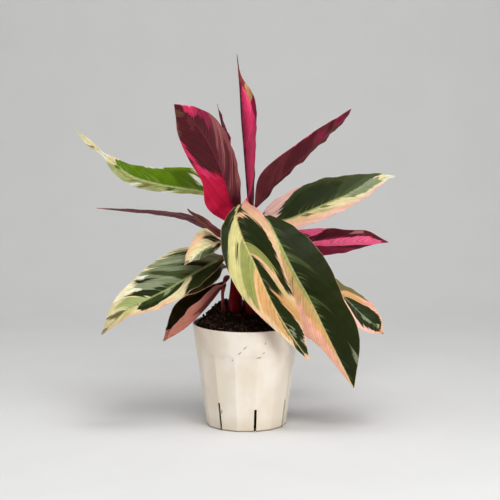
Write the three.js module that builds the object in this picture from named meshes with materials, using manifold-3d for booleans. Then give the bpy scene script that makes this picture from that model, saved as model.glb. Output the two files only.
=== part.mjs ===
// Stromanthe triostar, a variegated prayer plant, in its nursery pot. Life size, millimetres, +Z up.
// The origin is the centre of the pot's underside; -Y is the front of the plant.
import * as THREE from 'three';
import { mergeVertices } from 'three/addons/utils/BufferGeometryUtils.js';
import Module from 'manifold-3d';

const wasm = await Module();
wasm.setup();

// ---------------------------------------------------------------- driving dimensions
const GAP = 0.3; // left between pieces that touch

const POT = {
  height: 115.5,
  rimRadius: 60,
  baseRadius: 44.5,
  wall: 1.8,
  floor: 3,
  lipRound: 0.7,
  facets: 14,
  roundness: 4, // steps of the round cone to each facet
  frontEdge: 12.7, // degrees from the front, to the right, of the facet edge that carries a slot
  collarBottom: 91, // height where the smooth collar ends at the middle of a facet
  facetShoulder: 84, // height where the facets reach full width below the collar
  collarClear: 8, // how far the solid that cuts the facets stands clear of the collar
};

const SLOT = {
  width: 3,
  height: 32,
  frontHeight: 26, // the slot nearest the front is shorter
  reach: 9, // how far it cuts into the pot's floor
  overrun: 1, // how far the cut runs past the pot's faces
};

const SOIL = {
  edgeHeight: 112.5,
  moundHeight: 124,
  fullness: 3, // power of the mound's fall from the middle to the edge
  // A heap behind the stems: its middle, its reach to the sides and to the back, and its height.
  heap: { x: -22, y: 30, wide: 28, deep: 18, height: 15 },
  // Each lump wave: times round, radians for each mm outwards, start and size in mm.
  lumps: [[3, 0.31, 0, 0.9], [5, -0.47, 1, 0.9], [9, 0.83, 2, 0.65]],
  lumpsStart: 3, // the lumps reach full size at a third of the radius
  lumpsEnd: 6, // power of the fall of the lumps and the heap towards the edge
  rings: [7, 14, 21, 28, 35, 42, 48, 53, 57], // radii of the surface mesh, before it meets the wall
  spokes: 36,
  holeClear: 0.5, // left round each shoot
  holeSides: 20,
};

const BLADE = {
  thickness: 0.8,
  ribDepth: 1.1, // how far the midrib stands out below the blade at the petiole
  jointSwell: 1.3, // extra thickness where the blade meets its petiole
  jointReach: 0.06, // share of the length that the swelling fades over
  jointHalfWidth: 2.4,
  tipHalfWidth: 0.4,
  foldHalfWidth: 12, // a half narrower than this is less folded and curled, down to flat
  columns: [-1, -0.7, -0.4, -0.1, 0, 0.1, 0.4, 0.7, 1],
};

// A petiole runs straight into its blade over the last `lead` millimetres.
const PETIOLE = { radius: 1.9, jointRadius: 2.2, sides: 8, steps: 7, lead: 7 };
const SHEATH = { sides: 14, steps: 10 };

const FINISHES = {
  pot: { color: 0xe9dfcd, roughness: 0.45 },
  soil: { color: 0x1d1712, roughness: 0.95 },
  stem: { color: 0x5a1f2c, roughness: 0.5 },
  green: { color: 0x3c5a34, roughness: 0.5 },
  crimson: { color: 0x8c1f3c, roughness: 0.5 },
  maroon: { color: 0x4d1d24, roughness: 0.5 },
};

// Each blade follows its midrib from the petiole to the tip. `face` is the way its upper face looks,
// as azimuth and elevation at the petiole and at the tip. Left and right are seen from above the
// upper face, looking to the tip: half-widths at even steps between the two ends, the angle that
// the half is folded up from flat, and how far it curls on, both at the petiole and at the tip.
const LEAVES = {
  front_left: {
    midrib: [[-4, -2, 239], [-6, -12, 249], [-11, -28, 239], [-4, -48, 218], [9, -63, 192],
      [28, -74, 151], [49, -76, 116], [69, -70, 86]],
    face: [[-88, 78], [-80, 9]],
    left: { width: [10, 22, 32, 33, 28, 23, 13], fold: [60, 12], curl: [10, -16] },
    right: { width: [3, 7, 21, 29, 29, 17, 7], fold: [13, 4], curl: [-24, -25] },
    colour: 'green', rows: 20,
  },
  front_right: {
    midrib: [[13, 2, 226], [22, -7, 233], [36, -28, 211], [52, -46, 181], [71, -59, 149],
      [91, -67, 109], [118, -63, 54]],
    face: [[-72, 55], [-90, 0]],
    left: { width: [6, 23, 34, 37, 34, 33], fold: [15, 22], curl: [-15, -3] },
    right: { width: [17, 29, 33, 32, 30, 12], fold: [12, 7], curl: [-30, -21] },
    colour: 'green', rows: 20,
  },
  left_large: {
    midrib: [[-23, -7, 191], [-54, -27, 177], [-81, -43, 163], [-107, -52, 151], [-131, -56, 139],
      [-159, -50, 111]],
    face: [[-103, 51], [-109, 30]],
    left: { width: [19, 25, 25, 20, 9], fold: [18, 27], curl: [-10, -5] },
    right: { width: [30, 35, 32, 25, 16], fold: [32, 28], curl: [0, -3] },
    colour: 'green', rows: 18,
  },
  left_small: {
    midrib: [[-27, -20, 210], [-39, -34, 209], [-50, -46, 205], [-59, -54, 198], [-67, -58, 190]],
    face: [[-93, 30], [-122, 31]],
    left: { width: [9, 11, 10, 5], fold: [0, 0], curl: [-19, -19] },
    right: { width: [19, 17, 11, 8], fold: [38, 9], curl: [-28, -51] },
    colour: 'green', rows: 11,
  },
  left_under: {
    midrib: [[-21, 9, 177], [-33, 2, 181], [-47, -6, 176], [-60, -14, 166], [-75, -22, 154],
      [-92, -28, 139]],
    face: [[-112, 65], [-108, 34]],
    left: { width: [13, 24, 26, 18, 8], fold: [14, 8], curl: [-15, -20] },
    right: { width: [10, 19, 20, 17, 10], fold: [10, 10], curl: [-20, -20] },
    colour: 'green', rows: 13,
  },
  left_low: {
    midrib: [[-24, 2, 161], [-36, -9, 145], [-51, -20, 129], [-67, -27, 115], [-80, -32, 107],
      [-92, -34, 101]],
    face: [[-137, 52], [-137, 42]],
    left: { width: [17, 24, 27, 24, 15], fold: [60, 58], curl: [6, 6] },
    right: { width: [15, 24, 27, 22, 12], fold: [60, 58], curl: [6, 0] },
    colour: 'green', rows: 14,
  },
  right_low: {
    midrib: [[73, 2, 177], [94, -14, 161], [110, -26, 147], [125, -34, 133], [139, -39, 122],
      [151, -41, 110]],
    face: [[-58, 60], [-65, 26]],
    left: { width: [12, 17, 21, 19, 12], fold: [9, 11], curl: [-18, -19] },
    right: { width: [12, 15, 14, 17, 13], fold: [10, 5], curl: [-15, -24] },
    colour: 'green', rows: 14,
  },
  right_top: {
    midrib: [[18, 16, 233], [42, 30, 227], [70, 44, 235], [100, 58, 246], [130, 70, 256],
      [156, 79, 268], [171, 83, 270]],
    face: [[-80, 60], [-78, 47]],
    left: { width: [34, 42, 39, 31, 19, 5], fold: [-5, 12], curl: [-18, 2] },
    right: { width: [18, 21, 22, 19, 12, 5], fold: [6, 14], curl: [-14, -6] },
    colour: 'green', rows: 18,
  },
  right_pink: {
    midrib: [[36, 14, 209], [60, 4, 206], [82, -4, 206], [106, -11, 208], [132, -16, 210],
      [157, -18, 209]],
    face: [[80, 38], [80, 50]],
    left: { width: [12, 20, 20, 17, 9], fold: [-4, 0], curl: [-4, 0] },
    right: { width: [14, 18, 19, 16, 13], fold: [12, 15], curl: [12, 14] },
    colour: 'crimson', rows: 14,
  },
  right_high: {
    midrib: [[11, 16, 244], [31, 12, 269], [55, 5, 293], [78, -2, 317], [98, -8, 337],
      [115, -14, 356]],
    face: [[110, 30], [106, 27]],
    left: { width: [12, 13, 14, 16, 9], fold: [39, 39], curl: [0, 0] },
    right: { width: [18, 19, 15, 11, 6], fold: [41, 40], curl: [0, 0] },
    colour: 'maroon', rows: 14,
  },
  tall_red: {
    midrib: [[-9, 4, 223], [-19, -10, 260], [-30, -23, 295], [-45, -32, 326], [-61, -37, 348],
      [-78, -36, 363]],
    face: [[101, 3], [80, 8]],
    left: { width: [15, 21, 23, 22, 13], fold: [15, 12], curl: [18, 18] },
    right: { width: [27, 24, 27, 25, 17], fold: [0, -8], curl: [-6, -4] },
    colour: 'crimson', rows: 18,
  },
  tall_behind: {
    midrib: [[-9, 16, 243], [-15, 22, 275], [-21, 25, 307], [-27, 26, 334], [-32, 25, 358]],
    face: [[9, 5], [9, 5]],
    left: { width: [11, 15, 16, 13, 8], fold: [14, 14], curl: [0, 0] },
    right: { width: [11, 15, 16, 13, 8], fold: [14, 14], curl: [0, 0] },
    colour: 'maroon', rows: 14,
  },
  left_green: {
    midrib: [[-23, 22, 250], [-49, 36, 258], [-74, 47, 261], [-101, 56, 265], [-130, 63, 273],
      [-155, 68, 291], [-174, 70, 306], [-193, 68, 324]],
    face: [[-82, 41], [-85, 22]],
    left: { width: [4, 6, 8, 10, 11, 9, 2, 4], fold: [0, 0], curl: [-33, -35] },
    right: { width: [13, 24, 23, 18, 14, 7, 2, 3], fold: [21, 9], curl: [8, 0] },
    colour: 'green', rows: 20,
  },
  left_edge: {
    midrib: [[-25, 6, 209], [-45, 0, 224], [-67, -4, 234], [-95, -6, 239], [-129, -4, 242],
      [-166, 2, 244]],
    face: [[90, 71], [90, 72]],
    left: { width: [18, 23, 24, 20, 12], fold: [0, 0], curl: [-4, -5] },
    right: { width: [17, 22, 22, 16, 12], fold: [7, 2], curl: [4, 0] },
    colour: 'maroon', rows: 14,
  },
  left_spike: {
    midrib: [[-22, -30, 215], [-36, -37, 227], [-50, -42, 239], [-64, -45, 250]],
    face: [[69, 33], [66, 35]],
    left: { width: [4, 4, 4, 2], fold: [40, 40], curl: [0, 0] },
    right: { width: [9, 9, 9, 7], fold: [26, 28], curl: [-12, -10] },
    colour: 'crimson', rows: 10,
  },
  // The newest leaf, still rolled into a spear: both halves curl round to meet.
  spear: {
    midrib: [[4, 6, 237], [1, 9, 271], [-2, 11, 308], [-5, 12, 343], [-7, 12, 379], [-10, 10, 414]],
    face: [[-20, 0], [-20, 0]],
    left: { width: [12, 17, 22, 26, 16, 2], fold: [0, 0], curl: [195, 170] },
    right: { width: [8, 11, 15, 19, 18, 4], fold: [0, 20], curl: [150, 80] },
    colour: 'crimson', rows: 18, jointHalfWidth: 6,
  },
};

// Each shoot is a sheath, thickest in the soil, that splits into the petioles of its leaves. A
// petiole's points run from inside the sheath to just short of its blade.
const SHOOTS = {
  shoot_right: {
    sheath: { path: [[7, -2, 104], [7, -2, 117], [7, -2, 130], [5, -2, 141], [0, -2, 153],
      [-6, -2, 168], [-5, -1, 190]], radius: [8, 8, 8, 7.5, 6.8, 5.6, 3.6] },
    petioles: {
      spear: [[-6, -1, 176], [-2, 3, 206]],
      right_high: [[-6, -1, 172], [3, 12, 214]],
      right_top: [[-6, 0, 170], [4, 9, 212]],
      right_pink: [[-6, 0, 166], [8, 10, 196]],
      right_low: [[-5, 0, 160], [18, 9, 184], [46, 10, 190]],
      front_right: [[-6, -2, 172], [1, 0, 206]],
      front_left: [[-6, -2, 176], [-3, -3, 212]],
    },
  },
  shoot_centre: {
    sheath: { path: [[-12, 8, 106], [-12, 8, 121], [-12, 8, 136], [-12, 9, 160], [-13, 9, 188]],
      radius: [8, 8, 8, 5.5, 3.6] },
    petioles: {
      tall_red: [[-13, 9, 178], [-14, 8, 200]],
      tall_behind: [[-13, 9, 178], [-12, 13, 214]],
      left_green: [[-13, 9, 178], [-15, 14, 222]],
      left_edge: [[-13, 9, 174], [-17, 0, 200]],
      left_spike: [[-13, 8, 170], [-16, -16, 202]],
      left_small: [[-13, 8, 166], [-16, -8, 202]],
      left_large: [[-12, 8, 160], [-12, 2, 184]],
      left_under: [[-12, 9, 156], [-12, 11, 168]],
    },
  },
  shoot_left: {
    sheath: { path: [[-25.5, 6, 112], [-25.5, 6, 121], [-25.5, 6, 130], [-26.5, 7, 145],
      [-25, 8.5, 158]], radius: [2.4, 2.4, 2.4, 1.8, 3.3] },
    petioles: { left_low: [[-25.5, 8, 150], [-24, 12, 163]] },
  },
};

// ---------------------------------------------------------------- solids and booleans
const toSolid = (geometry) => {
  const bare = geometry.clone();
  bare.deleteAttribute('normal');
  bare.deleteAttribute('uv');
  const merged = mergeVertices(bare, 1e-4);
  return new wasm.Manifold(new wasm.Mesh({
    numProp: 3,
    vertProperties: new Float32Array(merged.attributes.position.array),
    triVerts: new Uint32Array(merged.index.array),
  }));
};

const toGeometry = (solid) => {
  const mesh = solid.getMesh();
  const geometry = new THREE.BufferGeometry();
  geometry.setAttribute('position', new THREE.BufferAttribute(mesh.vertProperties, 3));
  geometry.setIndex(new THREE.BufferAttribute(mesh.triVerts, 1));
  return geometry;
};

const group = new THREE.Group();
group.name = 'stromanthe_triostar';

const add = (name, geometry, finish) => {
  const flat = geometry.toNonIndexed();
  flat.computeVertexNormals();
  const mesh = new THREE.Mesh(flat, new THREE.MeshStandardMaterial(finish));
  mesh.name = name;
  group.add(mesh);
};

// A closed mesh from a list of points and a list of triangles.
const meshOf = (points, triangles) => {
  const geometry = new THREE.BufferGeometry();
  geometry.setAttribute('position', new THREE.Float32BufferAttribute(
    points.flatMap((p) => [p.x, p.y, p.z]), 3,
  ));
  geometry.setIndex(triangles);
  return geometry;
};

// A profile turned about Z; LatheGeometry turns about Y, so it is stood up afterwards.
const turned = (profile, segments, phase = 0) => {
  const points = profile.map(([r, z]) => new THREE.Vector2(r, z));
  return new THREE.LatheGeometry(points, segments, phase).rotateX(Math.PI / 2);
};

const vector = ([x, y, z]) => new THREE.Vector3(x, y, z);
const radians = THREE.MathUtils.degToRad;

// ---------------------------------------------------------------- pot
const potRadius = (z) => POT.baseRadius + (POT.rimRadius - POT.baseRadius) * (z / POT.height);
const facetStep = (2 * Math.PI) / POT.facets;

const makePot = () => {
  const { height, wall, floor, lipRound } = POT;
  const roundSides = POT.facets * POT.roundness;
  // The turned profile starts at -Z after standing up, so the phase is measured from the front.
  const edgePhase = radians(POT.frontEdge);
  const shell = toSolid(turned([
    [0, 0],
    [potRadius(0), 0],
    [potRadius(height - lipRound), height - lipRound],
    [potRadius(height) - lipRound, height],
    [potRadius(height) - wall + lipRound / 2, height],
    [potRadius(height - lipRound) - wall, height - lipRound],
    [potRadius(floor) - wall, floor],
    [0, floor],
  ], roundSides, edgePhase));

  // Flats cut the cone below the collar, and flare out past it at the shoulder.
  const { collarBottom, facetShoulder, collarClear } = POT;
  const flats = toSolid(turned([
    [0, -1],
    [potRadius(-1), -1],
    [potRadius(facetShoulder), facetShoulder],
    [potRadius(collarBottom) / Math.cos(facetStep / 2), collarBottom],
    [potRadius(height) + collarClear, collarBottom + 1],
    [potRadius(height) + collarClear, height + 1],
    [0, height + 1],
  ], POT.facets, edgePhase));

  let pot = shell.intersect(flats);
  // Every second edge between two facets carries a drain slot that starts in the floor.
  for (let k = 0; k < POT.facets; k += 2) {
    const slotHeight = k === 0 ? SLOT.frontHeight : SLOT.height;
    const inner = POT.baseRadius - SLOT.reach;
    const outer = POT.rimRadius + SLOT.overrun;
    const slot = new THREE.BoxGeometry(SLOT.width, outer - inner, slotHeight + SLOT.overrun)
      .translate(0, -(inner + outer) / 2, (slotHeight - SLOT.overrun) / 2)
      .rotateZ(radians(POT.frontEdge) + k * facetStep);
    pot = pot.subtract(toSolid(slot));
  }
  return pot;
};

// ---------------------------------------------------------------- soil
// The surface rises from the rim to a low mound, with lumps that fade out at the wall.
const soilHeight = (radius, angle) => {
  const share = Math.min(radius / SOIL.rings.at(-1), 1);
  const rise = (SOIL.moundHeight - SOIL.edgeHeight) * (1 - share ** SOIL.fullness);
  const lumps = SOIL.lumps.map(([times, outwards, start, size]) => (
    size * Math.sin(times * angle + outwards * radius + start)
  )).reduce((sum, lump) => sum + lump);
  const fade = 1 - share ** SOIL.lumpsEnd;
  const { x, y, wide, deep, height } = SOIL.heap;
  const across = (radius * Math.cos(angle) - x) / wide;
  const back = (radius * Math.sin(angle) - y) / deep;
  const heap = height * Math.exp(-(across ** 2) - back ** 2);
  return SOIL.edgeHeight + rise + (lumps * Math.min(share * SOIL.lumpsStart, 1) + heap) * fade;
};

const makeSoil = () => {
  const { spokes, rings } = SOIL;
  const inside = (z) => potRadius(z) * Math.cos(facetStep / 2) - POT.wall - GAP;
  const bottom = POT.floor + GAP;
  const radii = [...rings, inside(SOIL.edgeHeight)];
  const points = [new THREE.Vector3(0, 0, soilHeight(0, 0))];
  const triangles = [];
  const ring = (radius, heightAt) => {
    const first = points.length;
    for (let k = 0; k < spokes; k += 1) {
      const angle = (k / spokes) * 2 * Math.PI;
      points.push(new THREE.Vector3(
        radius * Math.cos(angle), radius * Math.sin(angle), heightAt(angle),
      ));
    }
    return first;
  };
  const band = (above, below) => {
    for (let k = 0; k < spokes; k += 1) {
      const next = (k + 1) % spokes;
      triangles.push(above + k, below + k, below + next, above + k, below + next, above + next);
    }
  };
  let previous = null;
  for (const radius of radii) {
    const current = ring(radius, (angle) => soilHeight(radius, angle));
    if (previous === null) {
      for (let k = 0; k < spokes; k += 1) {
        triangles.push(0, current + k, current + ((k + 1) % spokes));
      }
    } else {
      band(previous, current);
    }
    previous = current;
  }
  const foot = ring(inside(bottom), () => bottom);
  band(previous, foot);
  points.push(new THREE.Vector3(0, 0, bottom));
  const centre = points.length - 1;
  for (let k = 0; k < spokes; k += 1) {
    triangles.push(centre, foot + ((k + 1) % spokes), foot + k);
  }

  let soil = toSolid(meshOf(points, triangles));
  // Each shoot stands in a plain round hole.
  const holeHeight = SOIL.moundHeight + SOIL.heap.height;
  for (const { sheath } of Object.values(SHOOTS)) {
    const [x, y, z] = sheath.path[0];
    const radius = sheath.radius[0] + SOIL.holeClear;
    const hole = new THREE.CylinderGeometry(radius, radius, holeHeight, SOIL.holeSides)
      .rotateX(Math.PI / 2).translate(x, y, z - GAP + holeHeight / 2);
    soil = soil.subtract(toSolid(hole));
  }
  return soil;
};

// ---------------------------------------------------------------- blades
// A value that runs smoothly through a list at even steps.
const along = (values, s) => {
  const last = values.length - 1;
  const place = Math.min(s * last, last);
  const k = Math.min(Math.floor(place), last - 1);
  const u = place - k;
  const at = (n) => {
    if (n < 0) return 2 * values[0] - values[1];
    if (n > last) return 2 * values[last] - values[last - 1];
    return values[n];
  };
  const [a, b, c, d] = [at(k - 1), at(k), at(k + 1), at(k + 2)];
  return 0.5 * (2 * b + (c - a) * u + (2 * a - 5 * b + 4 * c - d) * u * u
    + (3 * b - a - 3 * c + d) * u ** 3);
};

const pointAlong = (points, s) => new THREE.Vector3(
  along(points.map((p) => p[0]), s), along(points.map((p) => p[1]), s),
  along(points.map((p) => p[2]), s),
);

const directionAlong = (points, s) => {
  const step = 1e-3;
  return pointAlong(points, Math.min(s + step, 1))
    .sub(pointAlong(points, Math.max(s - step, 0))).normalize();
};

const aim = ([azimuth, elevation]) => new THREE.Vector3().setFromSphericalCoords(
  1, radians(90 - elevation), radians(azimuth + 90),
).applyAxisAngle(new THREE.Vector3(1, 0, 0), Math.PI / 2);

// The point of the blade at s along the midrib and t across it, from -1 at the left edge to 1.
const bladePoint = (leaf, s, t) => {
  const tangent = directionAlong(leaf.midrib, s);
  const up = aim(leaf.face[0]).lerp(aim(leaf.face[1]), s * s * (3 - 2 * s));
  up.addScaledVector(tangent, -up.dot(tangent)).normalize();
  const side = t < 0 ? leaf.left : leaf.right;
  const outwards = tangent.clone().cross(up).multiplyScalar(Math.sign(t) || 1);
  const widths = [leaf.jointHalfWidth ?? BLADE.jointHalfWidth, ...side.width, BLADE.tipHalfWidth];
  const halfWidth = Math.max(along(widths, s), BLADE.tipHalfWidth);
  const reach = halfWidth * Math.abs(t);
  const bend = radians(Math.min(halfWidth / BLADE.foldHalfWidth, 1));
  const fold = bend * THREE.MathUtils.lerp(...side.fold, s);
  const halfCurl = bend * THREE.MathUtils.lerp(...side.curl, s) * Math.abs(t) / 2;
  const chord = reach * (Math.abs(halfCurl) > 1e-6 ? Math.sin(halfCurl) / halfCurl : 1);
  return pointAlong(leaf.midrib, s)
    .addScaledVector(outwards, chord * Math.cos(fold + halfCurl))
    .addScaledVector(up, chord * Math.sin(fold + halfCurl));
};

// The middle sheet of the blade is thickened both ways, with the midrib standing out below.
const makeBlade = (leaf) => {
  const { columns, thickness, ribDepth, jointSwell, jointReach } = BLADE;
  const wide = columns.length;
  const sheet = [];
  for (let i = 0; i <= leaf.rows; i += 1) {
    sheet.push(columns.map((t) => bladePoint(leaf, i / leaf.rows, t)));
  }
  const start = directionAlong(leaf.midrib, 0);
  const upper = [];
  const lower = [];
  sheet.forEach((row, i) => {
    const before = sheet[Math.max(i - 1, 0)];
    const after = sheet[Math.min(i + 1, leaf.rows)];
    const s = i / leaf.rows;
    const swell = jointSwell * Math.exp(-s / jointReach);
    row.forEach((point, j) => {
      const across = row[Math.min(j + 1, wide - 1)].clone().sub(row[Math.max(j - 1, 0)]);
      const ahead = after[j].clone().sub(before[j]);
      const normal = across.cross(ahead);
      if (i === 0) normal.addScaledVector(start, -normal.dot(start)); // a square-cut petiole end
      normal.normalize();
      const inner = 1 - Math.abs(columns[j]);
      const rib = columns[j] === 0 ? ribDepth * (1 - s) : 0;
      upper.push(point.clone().addScaledVector(normal, thickness / 2 + swell * inner / 2));
      lower.push(point.clone().addScaledVector(normal, -thickness / 2 - swell * inner / 2 - rib));
    });
  });

  const points = [...upper, ...lower];
  const under = upper.length;
  const at = (i, j) => i * wide + j;
  const triangles = [];
  const quad = (a, b, c, d) => triangles.push(a, b, c, a, c, d);
  for (let i = 0; i < leaf.rows; i += 1) {
    for (let j = 0; j < wide - 1; j += 1) {
      const corners = [at(i, j), at(i, j + 1), at(i + 1, j + 1), at(i + 1, j)];
      quad(...corners);
      triangles.push(...[corners[0], corners[2], corners[1], corners[0], corners[3], corners[2]]
        .map((n) => n + under));
    }
    quad(at(i, 0), at(i + 1, 0), under + at(i + 1, 0), under + at(i, 0));
    quad(at(i, wide - 1), under + at(i, wide - 1), under + at(i + 1, wide - 1), at(i + 1, wide - 1));
  }
  for (let j = 0; j < wide - 1; j += 1) {
    quad(at(0, j), under + at(0, j), under + at(0, j + 1), at(0, j + 1));
    quad(at(leaf.rows, j), at(leaf.rows, j + 1), under + at(leaf.rows, j + 1),
      under + at(leaf.rows, j));
  }
  return meshOf(points, triangles);
};

// ---------------------------------------------------------------- shoots
// A round rod that follows a path and changes thickness along it.
const makeRod = (path, radii, sides, steps) => {
  const points = [];
  const triangles = [];
  let side = null;
  for (let i = 0; i <= steps; i += 1) {
    const s = i / steps;
    const centre = pointAlong(path, s);
    const tangent = directionAlong(path, s);
    side = side ?? new THREE.Vector3(1, 0, 0);
    side = side.clone().addScaledVector(tangent, -side.dot(tangent)).normalize();
    const other = tangent.clone().cross(side);
    const radius = along(radii, s);
    for (let k = 0; k < sides; k += 1) {
      const angle = (k / sides) * 2 * Math.PI;
      points.push(centre.clone().addScaledVector(side, radius * Math.cos(angle))
        .addScaledVector(other, radius * Math.sin(angle)));
    }
  }
  for (let i = 0; i < steps; i += 1) {
    for (let k = 0; k < sides; k += 1) {
      const next = (k + 1) % sides;
      const [a, b] = [i * sides, (i + 1) * sides];
      triangles.push(a + k, a + next, b + next, a + k, b + next, b + k);
    }
  }
  const last = steps * sides;
  for (let k = 1; k < sides - 1; k += 1) {
    triangles.push(0, k + 1, k, last, last + k, last + k + 1);
  }
  return meshOf(points, triangles);
};

const makeShoot = ({ sheath, petioles }) => {
  const { radius, jointRadius, sides, steps, lead } = PETIOLE;
  let shoot = toSolid(makeRod(sheath.path, sheath.radius, SHEATH.sides, SHEATH.steps));
  for (const [leafName, lower] of Object.entries(petioles)) {
    const { midrib } = LEAVES[leafName];
    const start = vector(midrib[0]);
    const ahead = directionAlong(midrib, 0);
    const turn = start.clone().addScaledVector(ahead, -lead).toArray();
    const end = start.clone().addScaledVector(ahead, -GAP).toArray();
    const path = [...lower, turn, end];
    const radii = path.map((_, k) => (k === path.length - 2 ? jointRadius : radius));
    shoot = shoot.add(toSolid(makeRod(path, radii, sides, steps)));
  }
  return shoot;
};

// ---------------------------------------------------------------- the plant
add('pot', toGeometry(makePot()), FINISHES.pot);
add('soil', toGeometry(makeSoil()), FINISHES.soil);
for (const [name, shoot] of Object.entries(SHOOTS)) {
  add(name, toGeometry(makeShoot(shoot)), FINISHES.stem);
}
for (const [name, leaf] of Object.entries(LEAVES)) {
  add(`leaf_${name}`, makeBlade(leaf), FINISHES[leaf.colour]);
}

export default group;
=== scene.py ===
"""The looks of a potted stromanthe triostar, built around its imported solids.

Every length is in millimetres, and a mesh is turned to metres as it is made. +Z is up and -Y is the
front of the plant. Each leaf gets a finer blade on the same midrib, widths, folds and curls as its
solid, with a grooved midrib, pleats, a waved edge and markings that feather along the side veins.
"""
import math

import bpy
import numpy as np
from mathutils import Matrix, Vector, noise


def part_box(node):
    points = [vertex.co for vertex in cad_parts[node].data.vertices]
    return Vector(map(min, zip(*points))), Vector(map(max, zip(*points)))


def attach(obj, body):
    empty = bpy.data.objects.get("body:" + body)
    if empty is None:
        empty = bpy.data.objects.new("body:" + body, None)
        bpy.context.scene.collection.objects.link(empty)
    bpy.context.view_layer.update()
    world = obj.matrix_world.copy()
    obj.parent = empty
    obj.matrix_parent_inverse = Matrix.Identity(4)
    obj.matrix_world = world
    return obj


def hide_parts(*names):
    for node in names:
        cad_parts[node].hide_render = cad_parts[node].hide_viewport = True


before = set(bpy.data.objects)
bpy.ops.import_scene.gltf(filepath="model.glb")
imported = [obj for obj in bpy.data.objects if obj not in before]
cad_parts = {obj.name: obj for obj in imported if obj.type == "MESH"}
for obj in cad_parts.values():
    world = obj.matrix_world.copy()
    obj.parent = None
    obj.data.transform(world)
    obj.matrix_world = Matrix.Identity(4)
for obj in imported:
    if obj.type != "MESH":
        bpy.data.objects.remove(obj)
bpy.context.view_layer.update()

MM = 0.001
BODY = "root"

# ---------------------------------------------------------------- camera, light and floor
CAMERA = {"place": (4.25, -2400, 573), "target": (4.25, 0, 197.3), "focal_px": 2183}
PICTURE_PX = 500
SENSOR = 36

# Soft boxes: place, target, width and height, watts.
SOFT_BOXES = {
    "key": ((350, -500, 1500), (0, 0, 100), (600, 500), 7.6),
    "window": ((150, -1300, 1500), (0, 0, 120), (1000, 700), 13.6),
    "ceiling": ((0, -250, 1900), (0, 0, 0), (1500, 1200), 10.3),
    "right": ((1000, -900, 180), (0, 0, 80), (500, 300), 7.5),
    "left": ((-1000, -900, 180), (0, 0, 80), (500, 300), 1.3),
    "side": ((-1400, -400, 700), (0, 0, 150), (900, 900), 5.2),
}
SKY = {"colour": "#f3f5fb", "strength": 0.02}
FLOOR = {"front": -3200, "back": 1500, "curve": 900, "steps": 24, "top": 3600, "half_width": 4200}

# ---------------------------------------------------------------- materials in general
# Each noise has the size of its spots in mm, its detail and, unless that is 0.5, its unevenness. Each
# coat lies over the ones before it: its colour, the noise, height in mm or shade that lays it, where
# in that it starts and is full, and its strength. A `roughness` of two values is the skin's at the two
# ends of a noise.
NOISE_ENDS = (0.3, 0.7)  # nearly all of a noise lies between these

PAPER = {"base": "#e4e4e3", "cloud": "#e2e2e1", "roughness": 0.9, "clouds": (90, 2)}

# ---------------------------------------------------------------- pot
pot_low, pot_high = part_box("pot")
POT = {
    "height": pot_high.z / MM,
    "rim": (pot_high.x - pot_low.x) / 2 / MM,
    "base": 44.5,
    "wall": 1.8,
    "floor": 3,
    "lip": 0.8,
    "facets": 14,
    "front_edge": 12.7,  # degrees from the front, to the right, of the facet edge that carries a slot
    "shoulder": 84,
    "collar": 91,
    "edge_blend": 0.12,  # how softly the facets meet each other and the collar
}
POT_MESH = {
    "round": 24 * POT["facets"],
    "underside": (0.3, 0.6, 0.85),  # shares of the foot's radius
    "foot_round": 0.5,
    "foot_rings": 4,
    "wall_start": 2,
    "wall_rings": 110,
    "lip_rings": 9,
    "inside_start": 6,  # how far below the rim the first ring of the inside lies
    "inside_rings": 12,
    "floor_share": 0.5,
}
SLOT = {"width": 3, "height": 32, "front_height": 26, "reach": 9, "overrun": 1}

PLASTIC = {
    "sockets": {"IOR": 1.46},
    "noise": {"clouds": ((26, 26, 40), 3), "specks": ((2.6, 2.6, 3.4), 4, 0.7), "grain": (1.1, 2)},
    "dust_waver": 20,  # how far the clouds move the edge of the dust
    "coats": [
        ("cloud", "clouds", 0.35, 0.65, 1),
        ("speck", "specks", 0.66, 0.78, 0.3),
        ("dust", "dust", 30, 12, 0.35),
        # painted contact shadow: a dark line along the very foot, where the pot meets the floor
        ("foot", "height", 2.2, 0.8, 0.75),
    ],
    "roughness": (0.38, 0.5),
    "cloud_relief": 0.6,
    "grain_relief": 0.05,
}
PLASTIC_COLOURS = {
    "base": "#efe6d9",
    "cloud": "#e6dac7",
    "speck": "#c9bda6",
    "dust": "#c4b08c",
    # the colour of the painted contact shadow along the foot
    "foot": "#5c4a34",
    "scuff": "#6f6a4c",
}
# Scuffs on the front of the pot: x, height, half-length, half-height and tilt in degrees.
SCUFFS = [
    (-7, 91.5, 3, 0.9, 45),
    (-1.2, 97.5, 3.4, 0.9, 45),
    (14, 86, 3.4, 1, 8),
    (19, 91, 2.4, 0.8, 30),
    (21.3, 102, 0.9, 1.9, 0),
    (-15, 83, 1.2, 1, 0),
    (-27, 22, 1.2, 3, 0),
]
SCUFF = {
    "depth": 1e5,  # far more than the pot's depth, so that a scuff is the same at every depth
    "raggedness": 1.6,  # how far the specks move its outline, in half-sizes
    "outline": (1.9, 1.2, 0.7),  # where it starts and is full, in half-sizes, and how strong it is
    "front": (0, -10),  # a scuff is on the front alone: it fades in between these places
}

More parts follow.
